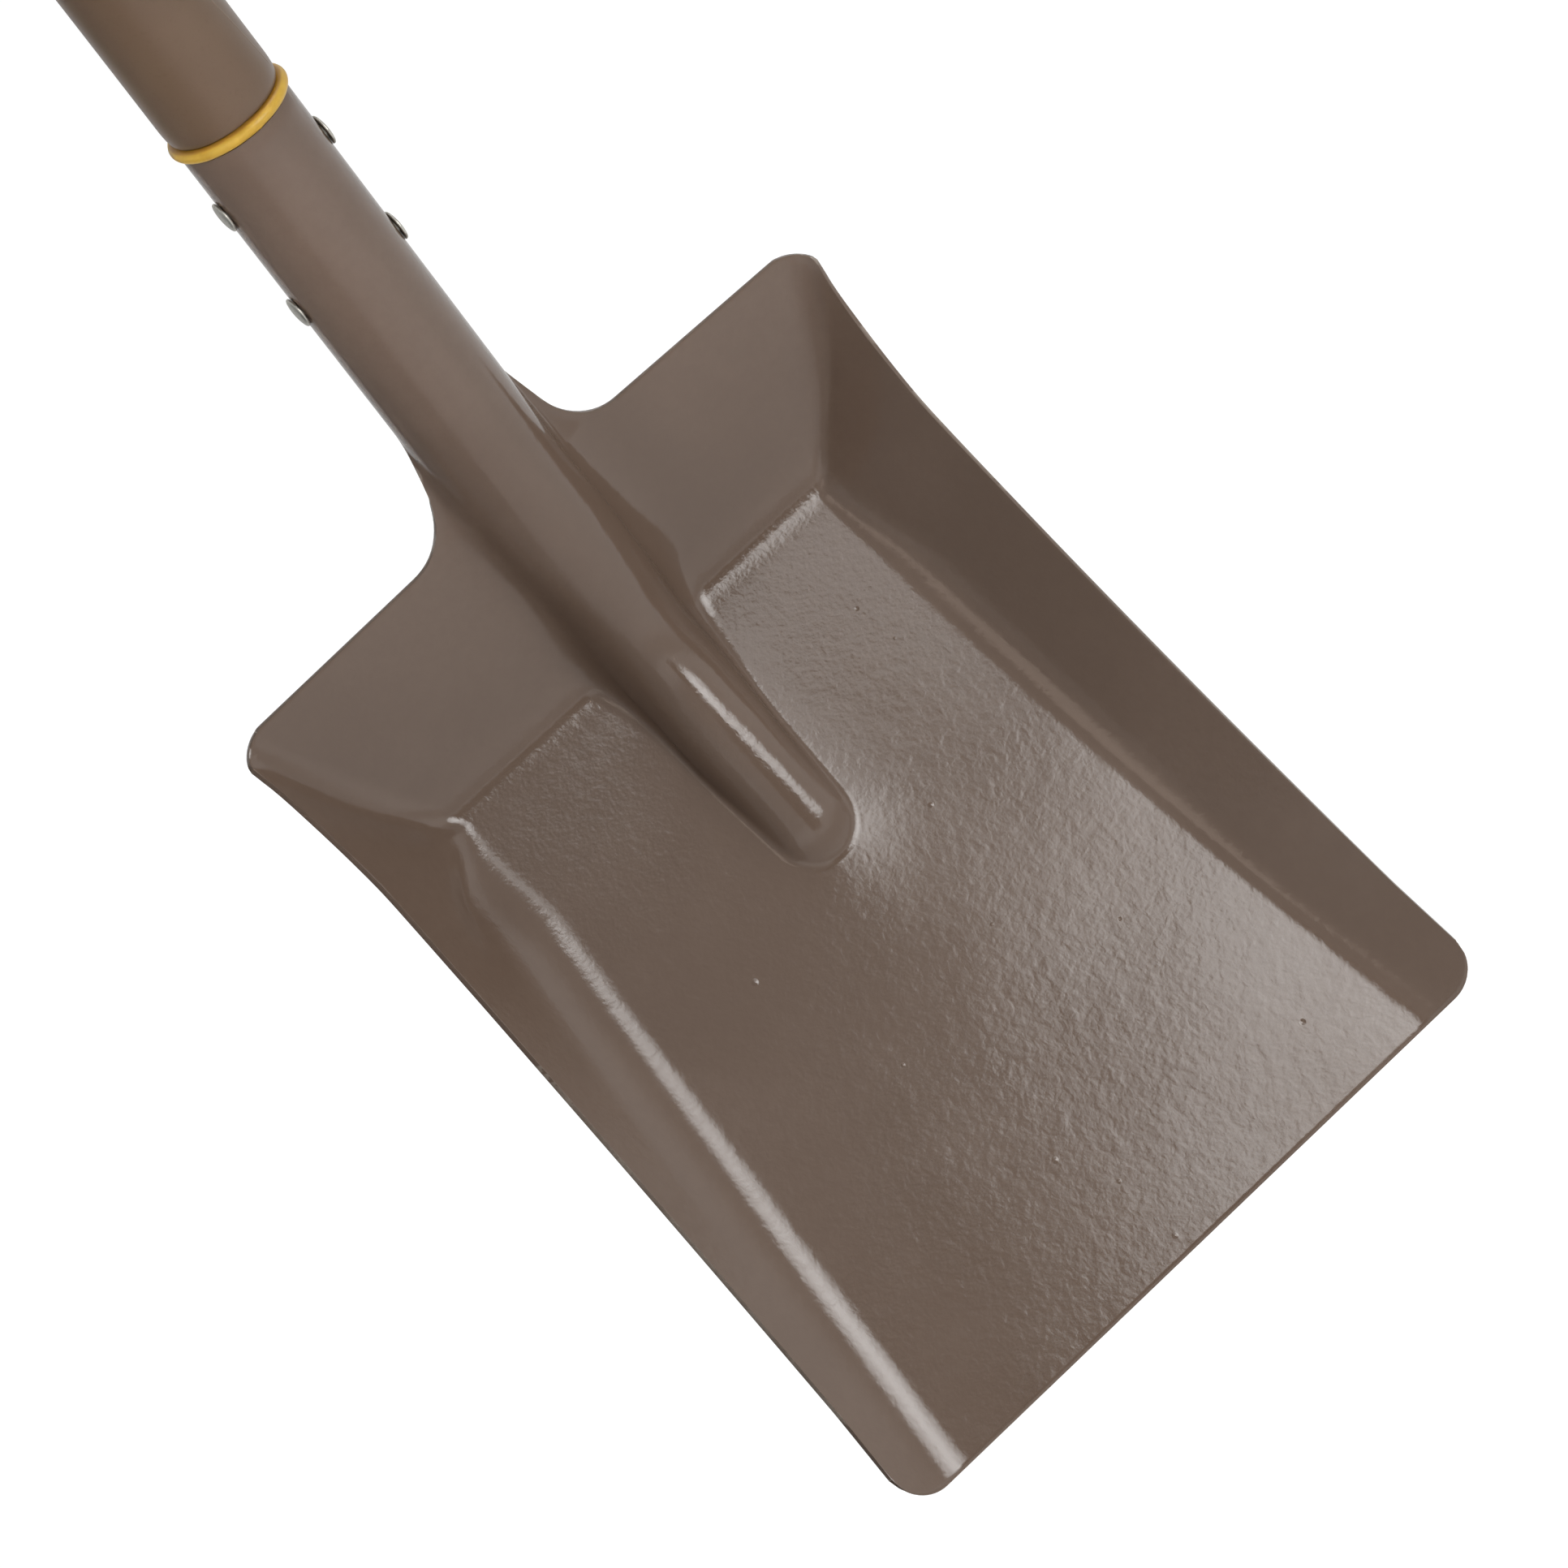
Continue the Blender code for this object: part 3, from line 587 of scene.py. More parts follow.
def head_sheet():
    """The sheet's front face on both sides of the rib."""
    sheet = bmesh.new()
    halves = []
    for side in (1.0, -1.0):
        rows = []
        for number, along in enumerate(ROWS):
            points = tongue_points(along)
            if number < len(PAN_ROWS):
                points += pan_points(along, side)
            rows.append(leaned(points, along, side))
        ease_neck(rows)
        ease_walls(rows[:len(PAN_ROWS)])
        halves.append([[sheet.verts.new(place) for place in row] for row in rows])
    for rows, flip in zip(halves, (False, True)):
        for lower, upper in zip(rows, rows[1:]):
            for column in range(min(len(lower), len(upper)) - 1):
                face = (lower[column], lower[column + 1], upper[column + 1], upper[column])
                sheet.faces.new(face[::-1] if flip else face)
    bmesh.ops.remove_doubles(sheet, verts=sheet.verts, dist=0.00002)
    return made_mesh("head_sheet", sheet)


def add_object(name, data):
    item = bpy.data.objects.new(name, data)
    bpy.context.scene.collection.objects.link(item)
    return item


def new_piece(name, mesh, material):
    """A mesh placed in the frame, riding on the shovel, in its finish."""
    piece = add_object(name, mesh)
    mesh.materials.append(material)
    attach(piece, "root")
    return piece


def shade(piece, degrees):
    """Smooth shading, but for edges that turn by more than these degrees."""
    piece.data.shade_smooth()
    piece.data.set_sharp_from_angle(angle=math.radians(degrees))


def evaluated_mesh(item):
    """The mesh that an object's curve or modifiers make."""
    bpy.context.view_layer.update()
    return bpy.data.meshes.new_from_object(item.evaluated_get(bpy.context.evaluated_depsgraph_get()))


def apply_modifiers(piece):
    """Keeps the mesh that the modifiers make, and removes them."""
    made = evaluated_mesh(piece)
    piece.modifiers.clear()
    piece.data = made


def make_head(material):
    """The head's sheet, made thick, with its edges rounded as enamel rounds them."""
    head = new_piece("head_pressing", head_sheet(), material)
    thickness = head.modifiers.new("thickness", "SOLIDIFY")
    thickness.thickness = SHEET
    thickness.offset = -1.0
    thickness.use_even_offset = False
    edges = head.modifiers.new("edges", "BEVEL")
    edges.width = SHEET / 4
    edges.segments = 2
    edges.limit_method = "ANGLE"
    edges.angle_limit = math.radians(50)
    apply_modifiers(head)
    shade(head, 35)
    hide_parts("head")


# Turned and moulded pieces

def add_skin(shape, rings, closed=False):
    """Faces between each ring of points and the next; closed also joins the last ring to the first."""
    for ring, following in zip(rings, rings[1:] + (rings[:1] if closed else [])):
        for point in range(len(ring)):
            after = (point + 1) % len(ring)
            shape.faces.new((ring[point], ring[after], following[after], following[point]))


def turned(name, outline, turn_count, material, relief):
    """A closed profile of (radius, height) points turned about the shaft's line; relief adds to a radius."""
    shape = bmesh.new()
    rings = []
    for turn in even_turns(turn_count):
        ring = []
        for radius, height in outline:
            radius += relief(turn, radius, height)
            place = (radius * math.sin(turn), -radius * math.cos(turn), height - HANG_POINT)
            ring.append(shape.verts.new(place))
        rings.append(ring)
    add_skin(shape, rings, closed=True)
    bmesh.ops.recalc_face_normals(shape, faces=shape.faces)
    piece = new_piece(name, made_mesh(name, shape), material)
    shade(piece, 40)
    return piece


def make_sleeve(material):
    """The plastic sleeve, drawn in and rolled under where it meets the ring, a little uneven as moulded."""
    outline = []
    for share in [0.0] + steps(0.0, 1.0, 12):
        turn = math.radians(90.0 * share)
        radius = mix(SLEEVE_END_RADIUS, SLEEVE_RADIUS, math.sin(turn) ** SLEEVE_END_CURVE)
        outline.append((radius, SLEEVE_BOTTOM + SLEEVE_END_LENGTH * (1.0 - math.cos(turn))))
    rim_start = SLEEVE_TOP - SLEEVE_RIM_START
    outline += [(SLEEVE_RADIUS, height) for height in steps(outline[-1][1], rim_start, 24)]
    outline += [(SLEEVE_RADIUS - inward, SLEEVE_TOP - down) for inward, down in SLEEVE_RIM]
    outline += [(BORE_RADIUS, SLEEVE_TOP), (BORE_RADIUS, SLEEVE_BOTTOM)]

    def uneven(turn, radius, height):
        if radius == BORE_RADIUS:
            return 0.0
        return -SLEEVE_UNEVENNESS * (1.0 + math.sin(2 * turn + height * SLEEVE_TWIST))

    sleeve = turned("sleeve_moulded", outline, 96, material, uneven)
    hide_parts("sleeve")


def make_ring(material):
    """The yellow ring's round bead, with a bit of flash left on its lower edge."""
    middle = RING_BOTTOM + RING_BEAD
    flat_end = RING_RADIUS - RING_BEAD * RING_FLAT_SHARE
    outline = [(BORE_RADIUS, RING_BOTTOM), (flat_end, RING_BOTTOM)]
    for share in steps(0.0, 1.0, 20)[:-1]:
        turn = math.radians(180.0 * share - 90.0)
        radius = RING_RADIUS - RING_BEAD * (1.0 - math.cos(turn))
        outline.append((radius, middle + RING_BEAD * math.sin(turn)))
    outline += [(flat_end, middle + RING_BEAD), (BORE_RADIUS, middle + RING_BEAD)]

    def uneven(turn, radius, height):
        if radius == BORE_RADIUS:
            return 0.0
        beside = math.hypot((turn - FLASH_TURN) * RING_RADIUS, (height - FLASH_UP) * FLASH_FLATNESS)
        flash = FLASH_HEIGHT * math.exp(-(beside / FLASH_REACH) ** 2)
        return flash - RING_UNEVENNESS * (1.0 + math.sin(3 * turn) * math.sin(5 * turn + 1.0))

    ring = turned("collar_ring_bead", outline, 144, material, uneven)
    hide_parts("collar_ring")


def make_rivet(name, node, height, seat, head_radius, material):
    """A through rivet: two domed heads with a struck flat on each, on a plain shank."""
    flat_out = seat + RIVET_DOME - RIVET_FLAT_DEPTH
    profile = [(0.0, flat_out), (head_radius * RIVET_FLAT_SHARE, flat_out)]
    for degrees in steps(13.0, 90.0, 14):
        turn = math.radians(degrees)
        out = seat + RIVET_EDGE + (RIVET_DOME - RIVET_EDGE) * math.cos(turn)
        profile.append((head_radius * math.sin(turn), out))
    profile += [(head_radius, seat + RIVET_CHAMFER), (head_radius - RIVET_CHAMFER, seat)]
    profile.append((RIVET_SHANK, seat))
    shape = bmesh.new()
    rings = []
    for radius, out in profile + [(radius, -out) for radius, out in reversed(profile)]:
        places = [(out, radius * math.cos(turn), height - HANG_POINT + radius * math.sin(turn))
                  for turn in even_turns(40)]
        rings.append([shape.verts.new(place) for place in places])
    add_skin(shape, rings)
    bmesh.ops.remove_doubles(shape, verts=shape.verts, dist=0.000001)
    bmesh.ops.recalc_face_normals(shape, faces=shape.faces)
    rivet = new_piece(name, made_mesh(name, shape), material)
    shade(rivet, 50)
    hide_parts(node)


def grip_loop():
    """The grip's round bar, bent into a closed D."""
    bar = HANG_POINT + BAR_RADIUS
    yoke = YOKE_TOP - ARM_RADIUS
    corner = GRIP_HALF_WIDTH + ARM_RADIUS
    right = [(BAR_END_SHARE * GRIP_HALF_WIDTH, bar, BAR_RADIUS)]
    right += [(out * corner, mix(yoke, bar, up), thickness * ARM_RADIUS) for out, up, thickness in GRIP_ARM]
    points = [(0.0, bar, BAR_RADIUS)] + right + [(-x, z, radius) for x, z, radius in reversed(right)]
    curve = bpy.data.curves.new("grip_loop", "CURVE")
    curve.dimensions = "3D"
    curve.bevel_depth = 1.0
    curve.bevel_resolution = 10
    spline = curve.splines.new("NURBS")
    spline.points.add(len(points) - 1)
    for point, (x, z, radius) in zip(spline.points, points):
        point.co = (x, 0.0, z - HANG_POINT, 1.0)
        point.radius = radius
    spline.use_cyclic_u = True
    spline.order_u = 4
    spline.resolution_u = 8
    guide = add_object("grip_loop", curve)
    loop = evaluated_mesh(guide)
    bpy.data.objects.remove(guide, do_unlink=True)
    return loop


def make_grip(material):
    """The D-grip: its loop and its collar, melted into one moulded shape."""
    shoulder = YOKE_TOP - GRIP_DOME_TOP * GRIP_SHOULDER
    dome = GRIP_DOME_LENGTH * GRIP_SHOULDER
    outline = [(out * GRIP_COLLAR_RADIUS, shoulder - drop * dome) for out, drop in GRIP_DOME]
    outline += [(GRIP_COLLAR_RADIUS, COLLAR_BOTTOM + GRIP_CHAMFER),
                (GRIP_COLLAR_RADIUS - GRIP_CHAMFER, COLLAR_BOTTOM), (0.0, COLLAR_BOTTOM)]
    body = bmesh.new()
    body.from_mesh(grip_loop())
    rings = [[body.verts.new((radius * math.sin(turn), -radius * math.cos(turn), height - HANG_POINT))
              for turn in even_turns(64)] for radius, height in outline]
    add_skin(body, rings)
    bmesh.ops.remove_doubles(body, verts=body.verts, dist=0.00001)
    bmesh.ops.recalc_face_normals(body, faces=body.faces)
    grip = new_piece("grip_moulded", made_mesh("grip_body", body), material)
    melt = grip.modifiers.new("melt", "REMESH")
    melt.mode = "VOXEL"
    melt.voxel_size = GRIP_VOXEL
    ease = grip.modifiers.new("ease", "SMOOTH")
    ease.factor = 0.5
    ease.iterations = 12
    apply_modifiers(grip)
    grip.data.shade_smooth()
    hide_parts("grip_body")


# Finishes

class Value:
    """A number or colour that varies over a surface, for writing shader maths as plain expressions."""

    def __init__(self, finish, socket):
        self.finish = finish
        self.socket = socket

    def _math(self, operation, *values):
        return self.finish.node("ShaderNodeMath", {"operation": operation}, *values)

    def __add__(self, other):
        return self._math("ADD", self, other)

    def __radd__(self, other):
        return self._math("ADD", other, self)

    def __sub__(self, other):
        return self._math("SUBTRACT", self, other)

    def __rsub__(self, other):
        return self._math("SUBTRACT", other, self)

    def __mul__(self, other):
        return self._math("MULTIPLY", self, other)

    def __abs__(self):
        return self._math("ABSOLUTE", self)

    def at_most(self, other):
        return self._math("MINIMUM", self, other)

    def at_least(self, other):
        return self._math("MAXIMUM", self, other)

    def turn_from(self, other):
        """The turn whose sine and cosine go as this value and the other."""
        return self._math("ARCTAN2", self, other)


class Finish:
    """A material's or a world's node tree, with one method that adds any node."""

    def __init__(self, owner):
        owner.use_nodes = True
        self.tree = owner.node_tree
        self.tree.nodes.clear()

    def node(self, kind, settings=None, *values, output=None, **named):
        """Adds a node: its settings first, then its sockets by place or by name. Returns one output."""
        node = self.tree.nodes.new(kind)
        for name, setting in (settings or {}).items():
            setattr(node, name, setting)
        shown = [socket for socket in node.inputs if socket.enabled]
        for socket, value in zip(shown, values):
            self._fill(socket, value)
        for name, value in named.items():
            name = name.replace("_", " ")
            self._fill(next(socket for socket in shown if socket.name == name), value)
        if output:
            return Value(self, node.outputs[output])
        outputs = [socket for socket in node.outputs if socket.enabled]
        return Value(self, outputs[0]) if outputs else None

    def _fill(self, socket, value):
        if isinstance(value, Value):
            self.tree.links.new(value.socket, socket)
        elif value is not None:
            socket.default_value = value

    def blend(self, share, first, second):
        """A colour between two colours."""
        return self.node("ShaderNodeMix", {"data_type": "RGBA"}, share, first, second)

    def place(self):
        return self.node("ShaderNodeTexCoord", output="Object")

    def axes(self, place, names):
        """The place's parts along the named axes."""
        return [self.node("ShaderNodeSeparateXYZ", {}, place, output=name) for name in names]

    def noise(self, place, scale, detail, roughness, distortion=0.0):
        return self.node("ShaderNodeTexNoise", Vector=place, Scale=scale, Detail=detail,
                         Roughness=roughness, Distortion=distortion)

    def range(self, value, low, high, to_low=0.0, to_high=1.0):
        """The value's run from low to high, eased and carried to a new run."""
        return self.node("ShaderNodeMapRange", {"interpolation_type": "SMOOTHSTEP"},
                         value, low, high, to_low, to_high)

    def spread(self, noise, to_low=0.0, to_high=1.0):
        """The run that a noise mostly covers, carried to a new run."""
        return self.range(noise, 0.3, 0.7, to_low, to_high)

    def relief(self, *layers):
        """A normal from layers of height, each with the depth in metres that its height of 1 stands for."""
        normal = None
        for height, depth in layers:
            normal = self.node("ShaderNodeBump", Strength=1.0, Distance=depth, Height=height, Normal=normal)
        return normal

    def surface(self, **sockets):
        self.node("ShaderNodeOutputMaterial", {}, self.node("ShaderNodeBsdfPrincipled", **sockets))


def linear(red, green, blue):
    """A colour as a screen shows it, 0 to 255, turned into light."""
    light = []
    for part in (red, green, blue):
        part /= 255.0
        light.append(part / 12.92 if part <= 0.04045 else ((part + 0.055) / 1.055) ** 2.4)
    return (*light, 1.0)


def grey(level):
    return (level, level, level, 1.0)


def new_finish(name):
    """A material, its node tree, and the place on the surface."""
    material = bpy.data.materials.new(name)
    finish = Finish(material)
    return material, finish, finish.place()


# Nibs and pits in the enamel: how far right, how far along the floor, how wide, and up or down
NIBS = ((0.0334, -0.0944, 0.0011, 1.0), (0.0598, -0.0330, 0.0009, -1.0), (0.0516, -0.1613, 0.0008, -1.0),
        (0.0707, -0.2240, 0.0012, -1.0), (-0.0160, -0.2020, 0.0012, 1.0), (-0.0052, -0.2445, 0.0011, 1.0),
        (-0.0061, -0.2204, 0.0009, 1.0), (-0.0458, -0.0975, 0.0014, 1.0), (0.0620, -0.0480, 0.0006, 1.0),
        (0.0210, -0.1350, 0.0007, 1.0), (-0.0300, -0.1480, 0.0008, 1.0))

SCUFF_START = 0.2423
SCUFF_LENGTH = 0.055
SCUFF_TURN = math.radians(60.8)
SCUFF_TURN_PER_METRE = math.radians(550.0)


def enamel_finish():
    """Thick glossy taupe enamel: orange peel, nibs and pits in it, and a painted highlight along sharp
    edges, made paler there.
    """
    material, f, place = new_finish("taupe_enamel_gloss")
    cloud = f.noise(place, 14.0, 3.0, 0.55)
    fine = f.noise(place, 260.0, 2.0, 0.6)
    tone = f.blend(f.range(cloud, 0.35, 0.65), linear(103, 86, 74), linear(107, 90, 78))
    tone = f.blend(f.spread(fine, 0.0, 0.25), tone, linear(99, 82, 71))
    edge = f.range(f.node("ShaderNodeNewGeometry", output="Pointiness"), 0.54, 0.62)
    # Sharp edges are painted paler and made rougher: a painted highlight that stands in for the light the
    # rounded edges catch.
    painted_edge_highlight = edge * f.range(f.noise(place, 90.0, 4.0, 0.7), 0.36, 0.60, 0.45, 1.0)
    tone = f.blend(painted_edge_highlight * 0.65, tone, linear(156, 145, 133))
    slow = f.noise(place, 24.0, 1.0, 0.4)
    ripple = f.noise(place, 170.0, 2.0, 0.5)
    mottle = f.noise(place, 330.0, 2.0, 0.5, 0.4)
    peel = f.noise(place, 620.0, 3.0, 0.55)
    nibs = 0.0
    for x, along, reach, height in NIBS:
        nib = HEEL + ALONG_FLOOR * along + Vector((x, 0.0, 0.0))
        away = f.node("ShaderNodeVectorMath", {"operation": "DISTANCE"}, place, tuple(nib), output="Value")
        nibs = f.range(away, 0.0, reach, height, 0.0) + nibs
    up = f.axes(place, "Z")[0] + HANG_POINT
    at_heel = f.range(up, -0.070, -0.010) * f.range(up, 0.001, 0.012, 1.0, 0.0)
    peel = peel * (1.0 + at_heel * 1.6)
    normal = f.relief((slow, 0.00022), (ripple, 0.00006), (mottle, 0.00005), (peel, 0.000026),
                      (nibs, 0.00016))
    f.surface(Base_Color=tone, Roughness=f.spread(cloud, 0.11, 0.14) + painted_edge_highlight * 0.15, Normal=normal, IOR=1.5)
    return material


def sleeve_finish():
    """Satin olive-brown plastic with a fine grain and a thin scuffed line down one side."""
    material, f, place = new_finish("olive_taupe_satin")
    cloud = f.noise(place, 22.0, 3.0, 0.55)
    speck = f.noise(place, 700.0, 2.0, 0.6)
    tone = f.blend(f.spread(cloud), linear(98, 78, 61), linear(103, 83, 65))
    tone = f.blend(f.range(speck, 0.55, 0.75, 0.0, 0.35), tone, linear(92, 72, 54))
    x, y, z = f.axes(place, "XYZ")
    up = z + HANG_POINT
    line = SCUFF_TURN - (up - SCUFF_START).at_most(SCUFF_LENGTH) * SCUFF_TURN_PER_METRE
    beside = abs(x.turn_from(0.0 - y) - line) * SLEEVE_RADIUS
    scuff = f.range(beside, 0.00012, 0.00045, 1.0, 0.0)
    scuff = scuff * f.range(up, 0.2405, 0.2425) * f.range(up, 0.300, 0.330, 1.0, 0.0)
    tone = f.blend(scuff * 0.5, tone, linear(128, 110, 92))
    grain = f.noise(place, 420.0, 3.0, 0.6)
    normal = f.relief((grain, 0.000025), (scuff, 0.00012))
    f.surface(Base_Color=tone, Roughness=f.spread(cloud, 0.28, 0.34) + scuff * 0.1, Normal=normal)
    return material


def ring_finish():
    """Mustard plastic, a little uneven, with painted shade where the ring meets the sleeve."""
    material, f, place = new_finish("mustard_satin")
    cloud = f.noise(place, 130.0, 3.0, 0.6)
    tone = f.blend(f.spread(cloud), linear(188, 147, 44), linear(202, 163, 58))
    up = f.axes(place, "Z")[0] + HANG_POINT
    # A darker band at the top of the bead: painted shade in the joint with the sleeve.
    painted_joint_shade = f.range(up, RING_BOTTOM + 1.72 * RING_BEAD, RING_BOTTOM + 1.98 * RING_BEAD)
    tone = f.blend(painted_joint_shade * 0.6, tone, linear(140, 84, 28))
    normal = f.relief((f.noise(place, 900.0, 3.0, 0.6), 0.00002), (cloud, 0.00003))
    f.surface(Base_Color=tone, Roughness=f.spread(cloud, 0.32, 0.42), Normal=normal)
    return material


def steel_finish():
    """Bright steel with brushed cloudiness, small dents and dull specks."""
    material, f, place = new_finish("rivet_steel")
    cloud = f.noise(place, 190.0, 4.0, 0.65)
    speck = f.noise(place, 1400.0, 2.0, 0.6)
    tone = f.blend(f.spread(cloud), linear(188, 185, 176), linear(208, 206, 198))
    dull = f.range(speck, 0.60, 0.72)
    tone = f.blend(dull, tone, linear(118, 110, 98))
    metal = f.range(speck, 0.60, 0.80, 1.0, 0.8)
    normal = f.relief((cloud, 0.000015), (speck, 0.000004))
    f.surface(Base_Color=tone, Roughness=f.spread(cloud, 0.38, 0.46) + dull * 0.12, Metallic=metal,
              Normal=normal)
    return material


def grip_finish():
    """The grip's satin plastic: pebbled, with the mould's parting line round the loop and a polished bar."""
    material, f, place = new_finish("olive_taupe_grained")
    cloud = f.noise(place, 22.0, 3.0, 0.55)
    tone = f.blend(f.spread(cloud), linear(96, 76, 57), linear(104, 83, 63))
    y, z = f.axes(place, "YZ")
    yoke = YOKE_TOP - HANG_POINT
    parting = f.range(abs(y), 0.00015, 0.0006, 1.0, 0.0) * f.range(z, yoke - 0.03, yoke)
    polished = f.range(z, -0.012, 0.004) * f.spread(f.noise(place, 30.0, 2.0, 0.5), 0.6, 1.0)
    tone = f.blend(parting * 0.4, tone, linear(122, 104, 86))
    pebbles = f.node("ShaderNodeTexVoronoi", {"feature": "SMOOTH_F1"}, Vector=place, Scale=900.0,
                     output="Distance")
    normal = f.relief((pebbles * (1.0 - polished * 0.7), 0.00005), (parting, 0.00015))
    f.surface(Base_Color=tone, Roughness=f.spread(cloud, 0.36, 0.44) - polished * 0.14, Normal=normal)
    return material


# Studio

FLOOR_DROP = -1.35
FLOOR_REACH = 60.0
FLOOR_GREY = 0.80
FLOOR_WHITE = 1.25
FLOOR_WHITE_SEEN = 0.75
FLOOR_WHITE_MIRRORED = 0.30
WORLD_LIGHT = 0.36
WORLD_WHITE_END = 0.17
WORLD_DIM_START = 0.42
WORLD_DIM_SHARE = 0.10

# The key light: its line from the pan's middle, and round lamps one before the other, as size and glow,
# that make its edge soft.
PAN_MIDDLE = HEEL + ALONG_FLOOR * -0.12
KEY_TURN = math.radians(35)
KEY_HEIGHT = math.radians(29)
KEY_DISTANCE = 2.2
KEY_RIGHT = -0.29
KEY_UP = -0.01
KEY_RINGS = ((1.30, 2.75), (1.08, 2.75), (0.70, 1.75), (0.42, 1.75))
KEY_RING_GAP = 0.005

CAMERA_LENS = 130.43
CAMERA_PLACE = Vector((-0.2681, -1.5237, 0.1337))
CAMERA_RIGHT = Vector((0.7247, -0.4600, -0.5130))
CAMERA_UP = Vector((0.6719, 0.3070, 0.6740))
CAMERA_FORWARD = Vector((0.1525, 0.8332, -0.5316))


def seen_rays(finish, direct, mirrored):
    """One share for rays that see a surface directly, and one for those mirrored or through glass."""
    camera, glossy, through = [finish.node("ShaderNodeLightPath", output=name)
                               for name in ("Is Camera Ray", "Is Glossy Ray", "Is Transmission Ray")]
    return camera * direct + glossy.at_least(through) * mirrored


def floor_finish():
    """A pale floor that takes the light and the shadow, with white mixed in where it is seen."""
    material = bpy.data.materials.new("studio_floor_white")
    f = Finish(material)
    lit = f.node("ShaderNodeBsdfDiffuse", Color=grey(FLOOR_GREY))
    white = f.node("ShaderNodeEmission", Color=grey(1.0), Strength=FLOOR_WHITE)
    seen = seen_rays(f, FLOOR_WHITE_SEEN, FLOOR_WHITE_MIRRORED)
    both = f.node("ShaderNodeMixShader", {}, seen, lit, white)
    f.node("ShaderNodeOutputMaterial", {}, both)
    return material


def make_floor():
    """A round floor, with its rim far enough out to meet the horizon."""
    shape = bmesh.new()
    bmesh.ops.create_circle(shape, cap_ends=True, segments=96, radius=FLOOR_REACH,
                            matrix=Matrix.Translation((0.0, 0.0, FLOOR_DROP)))
    floor = add_object("studio_floor", made_mesh("studio_floor", shape))
    floor.data.materials.append(floor_finish())


def studio_world():
    """Soft light from all round; seen directly or mirrored, it is whiter near the horizon."""
    world = bpy.data.worlds.new("studio")
    bpy.context.scene.world = world
    f = Finish(world)
    height = f.axes(f.node("ShaderNodeTexCoord", output="Generated"), "Z")[0]
    wall = f.range(height, WORLD_WHITE_END, WORLD_DIM_START, 1.0, WORLD_DIM_SHARE)
    ambient = f.node("ShaderNodeBackground", Color=grey(1.0), Strength=WORLD_LIGHT)
    white = f.node("ShaderNodeBackground", Color=grey(1.0), Strength=1.0)
    both = f.node("ShaderNodeMixShader", {}, seen_rays(f, 1.0, 1.0) * wall, ambient, white)
    f.node("ShaderNodeOutputWorld", {}, both)


def lamp(name, place, target, width, height, glow, shape="RECTANGLE", spread=180, mirrored=True,
         tint=(1.0, 1.0, 1.0)):
    """An area lamp that faces the target; its glow is how bright it looks in a mirror, with 1 for white.

    The spread is the width of its beam in degrees. A lamp that isn't mirrored lights, but shows in no gloss.
    """
    light = bpy.data.lights.new(name, "AREA")
    light.shape = shape
    light.size = width
    light.size_y = height
    area = width * height * (math.pi / 4 if shape == "ELLIPSE" else 1.0)
    light.energy = glow * math.pi * area
    light.color = tint
    light.spread = math.radians(spread)
    box = add_object(name, light)
    aim = (Vector(target) - Vector(place)).to_track_quat("-Z", "Y").to_matrix().to_4x4()
    box.matrix_world = Matrix.Translation(place) @ aim
    box.visible_glossy = mirrored


def key_place(right, up, distance=KEY_DISTANCE):
    """A place beside the key light's line to the pan, in the plane across that line."""
    across = Vector((math.cos(KEY_TURN), math.sin(KEY_TURN), 0.0))
    away = Vector((math.sin(KEY_TURN) * math.cos(KEY_HEIGHT), -math.cos(KEY_TURN) * math.cos(KEY_HEIGHT),
                   math.sin(KEY_HEIGHT)))
    return PAN_MIDDLE + away * distance + across * right + away.cross(across) * up


def studio_lights():
    for number, (size, glow) in enumerate(KEY_RINGS):
        place = key_place(KEY_RIGHT, KEY_UP, KEY_DISTANCE - KEY_RING_GAP * number)
        lamp(f"key_softbox_{number + 1}", place, PAN_MIDDLE, size, size, glow, shape="ELLIPSE")
    lamp("upper_softbox", key_place(-0.30, 0.90), PAN_MIDDLE, 0.58, 0.50, 2.5)
    lamp("floor_lamp", (1.6, 0.6, 1.4), (1.1, 0.5, FLOOR_DROP), 1.2, 1.2, 1.8, spread=70)
    lamp("socket_lamp", (-0.9, -1.2, -0.15), (0.0, -0.02, -0.47), 0.3, 0.3, 0.28, spread=8, mirrored=False)
    lamp("side_lamp", (-1.2, -0.55, -0.10), (0.0, -0.02, -0.61), 0.2, 0.2, 0.27, spread=9, mirrored=False)
    lamp("front_lamp", (0.1, -2.3, -0.45), (0.0, 0.0, -0.72), 1.4, 1.0, 2.1, mirrored=False)
    lamp("warm_fill", (-0.88, -1.60, 0.46), PAN_MIDDLE, 0.95, 0.36, 1.3, tint=(1.0, 0.82, 0.70))


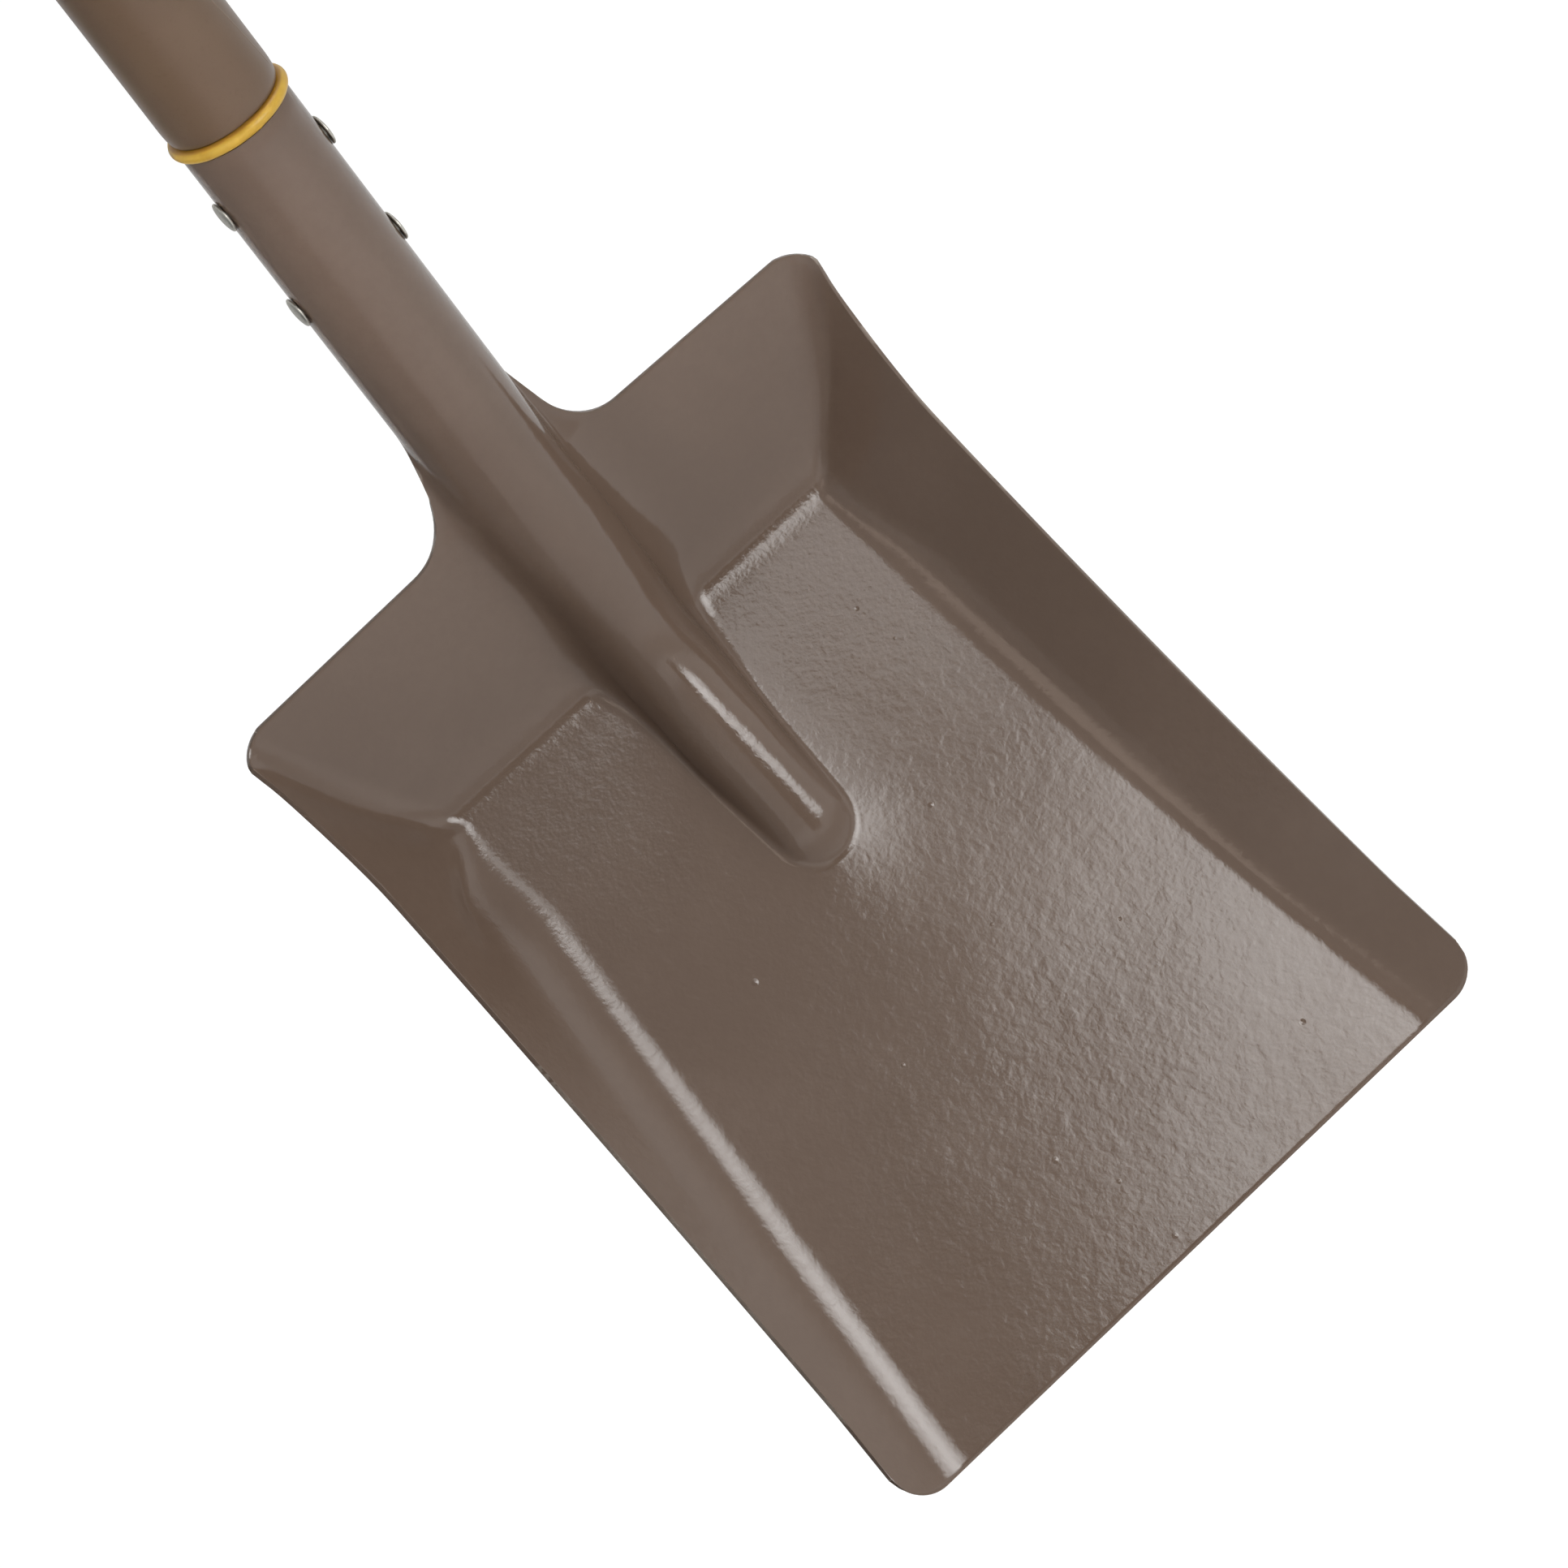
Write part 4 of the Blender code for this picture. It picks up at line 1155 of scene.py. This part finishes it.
def card(name, place, width, height, turn, level):
    """A flat grey card that only lights and mirrors see; its turn is about Z, from facing -Y."""
    shape = bmesh.new()
    bmesh.ops.create_grid(shape, x_segments=1, y_segments=1, size=0.5)
    flat = add_object(name, made_mesh(name, shape))
    material = bpy.data.materials.new(name)
    f = Finish(material)
    f.node("ShaderNodeOutputMaterial", {}, f.node("ShaderNodeBsdfDiffuse", Color=grey(level)))
    flat.data.materials.append(material)
    stands = Matrix.Rotation(turn, 4, "Z") @ Matrix.Rotation(math.radians(90), 4, "X")
    flat.matrix_world = Matrix.Translation(place) @ stands @ Matrix.Diagonal((width, height, 1.0, 1.0))
    flat.visible_camera = False


def studio_cards():
    """A grey card on the left, and a dark one that cuts the key light off on its left."""
    card("left_card", (-0.75, 0.0, -0.925), 1.9, 0.85, math.radians(90), 0.35)
    card("key_flag", key_place(-0.92, -0.07, 2.05), 0.60, 1.35, KEY_TURN, 0.05)


def make_camera():
    """The photograph's viewpoint: from above and a little to the left, turned so the shaft leans left."""
    camera = bpy.data.cameras.new("camera")
    camera.sensor_width = 36.0
    camera.lens = CAMERA_LENS
    view = add_object("camera", camera)
    axes = Matrix((CAMERA_RIGHT, CAMERA_UP, -CAMERA_FORWARD)).transposed().to_4x4()
    view.matrix_world = Matrix.Translation(CAMERA_PLACE) @ axes
    bpy.context.scene.camera = view


steel = steel_finish()
socket_seat = SOCKET_RADIUS + CLEARANCE
grip_seat = GRIP_COLLAR_RADIUS + CLEARANCE
make_head(enamel_finish())
make_sleeve(sleeve_finish())
make_ring(ring_finish())
make_rivet("rivet_upper_domed", "rivet_upper", UPPER_RIVET, socket_seat, RIVET_HEAD, steel)
make_rivet("rivet_lower_domed", "rivet_lower", LOWER_RIVET, socket_seat, RIVET_HEAD, steel)
make_rivet("grip_rivet_domed", "grip_rivet", GRIP_RIVET, grip_seat, GRIP_RIVET_HEAD, steel)
make_grip(grip_finish())
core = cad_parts["shaft_core"]
core.data.materials.clear()
core.data.materials.append(steel)

make_floor()
studio_cards()
studio_world()
studio_lights()
make_camera()
bpy.context.scene.view_settings.view_transform = "Standard"
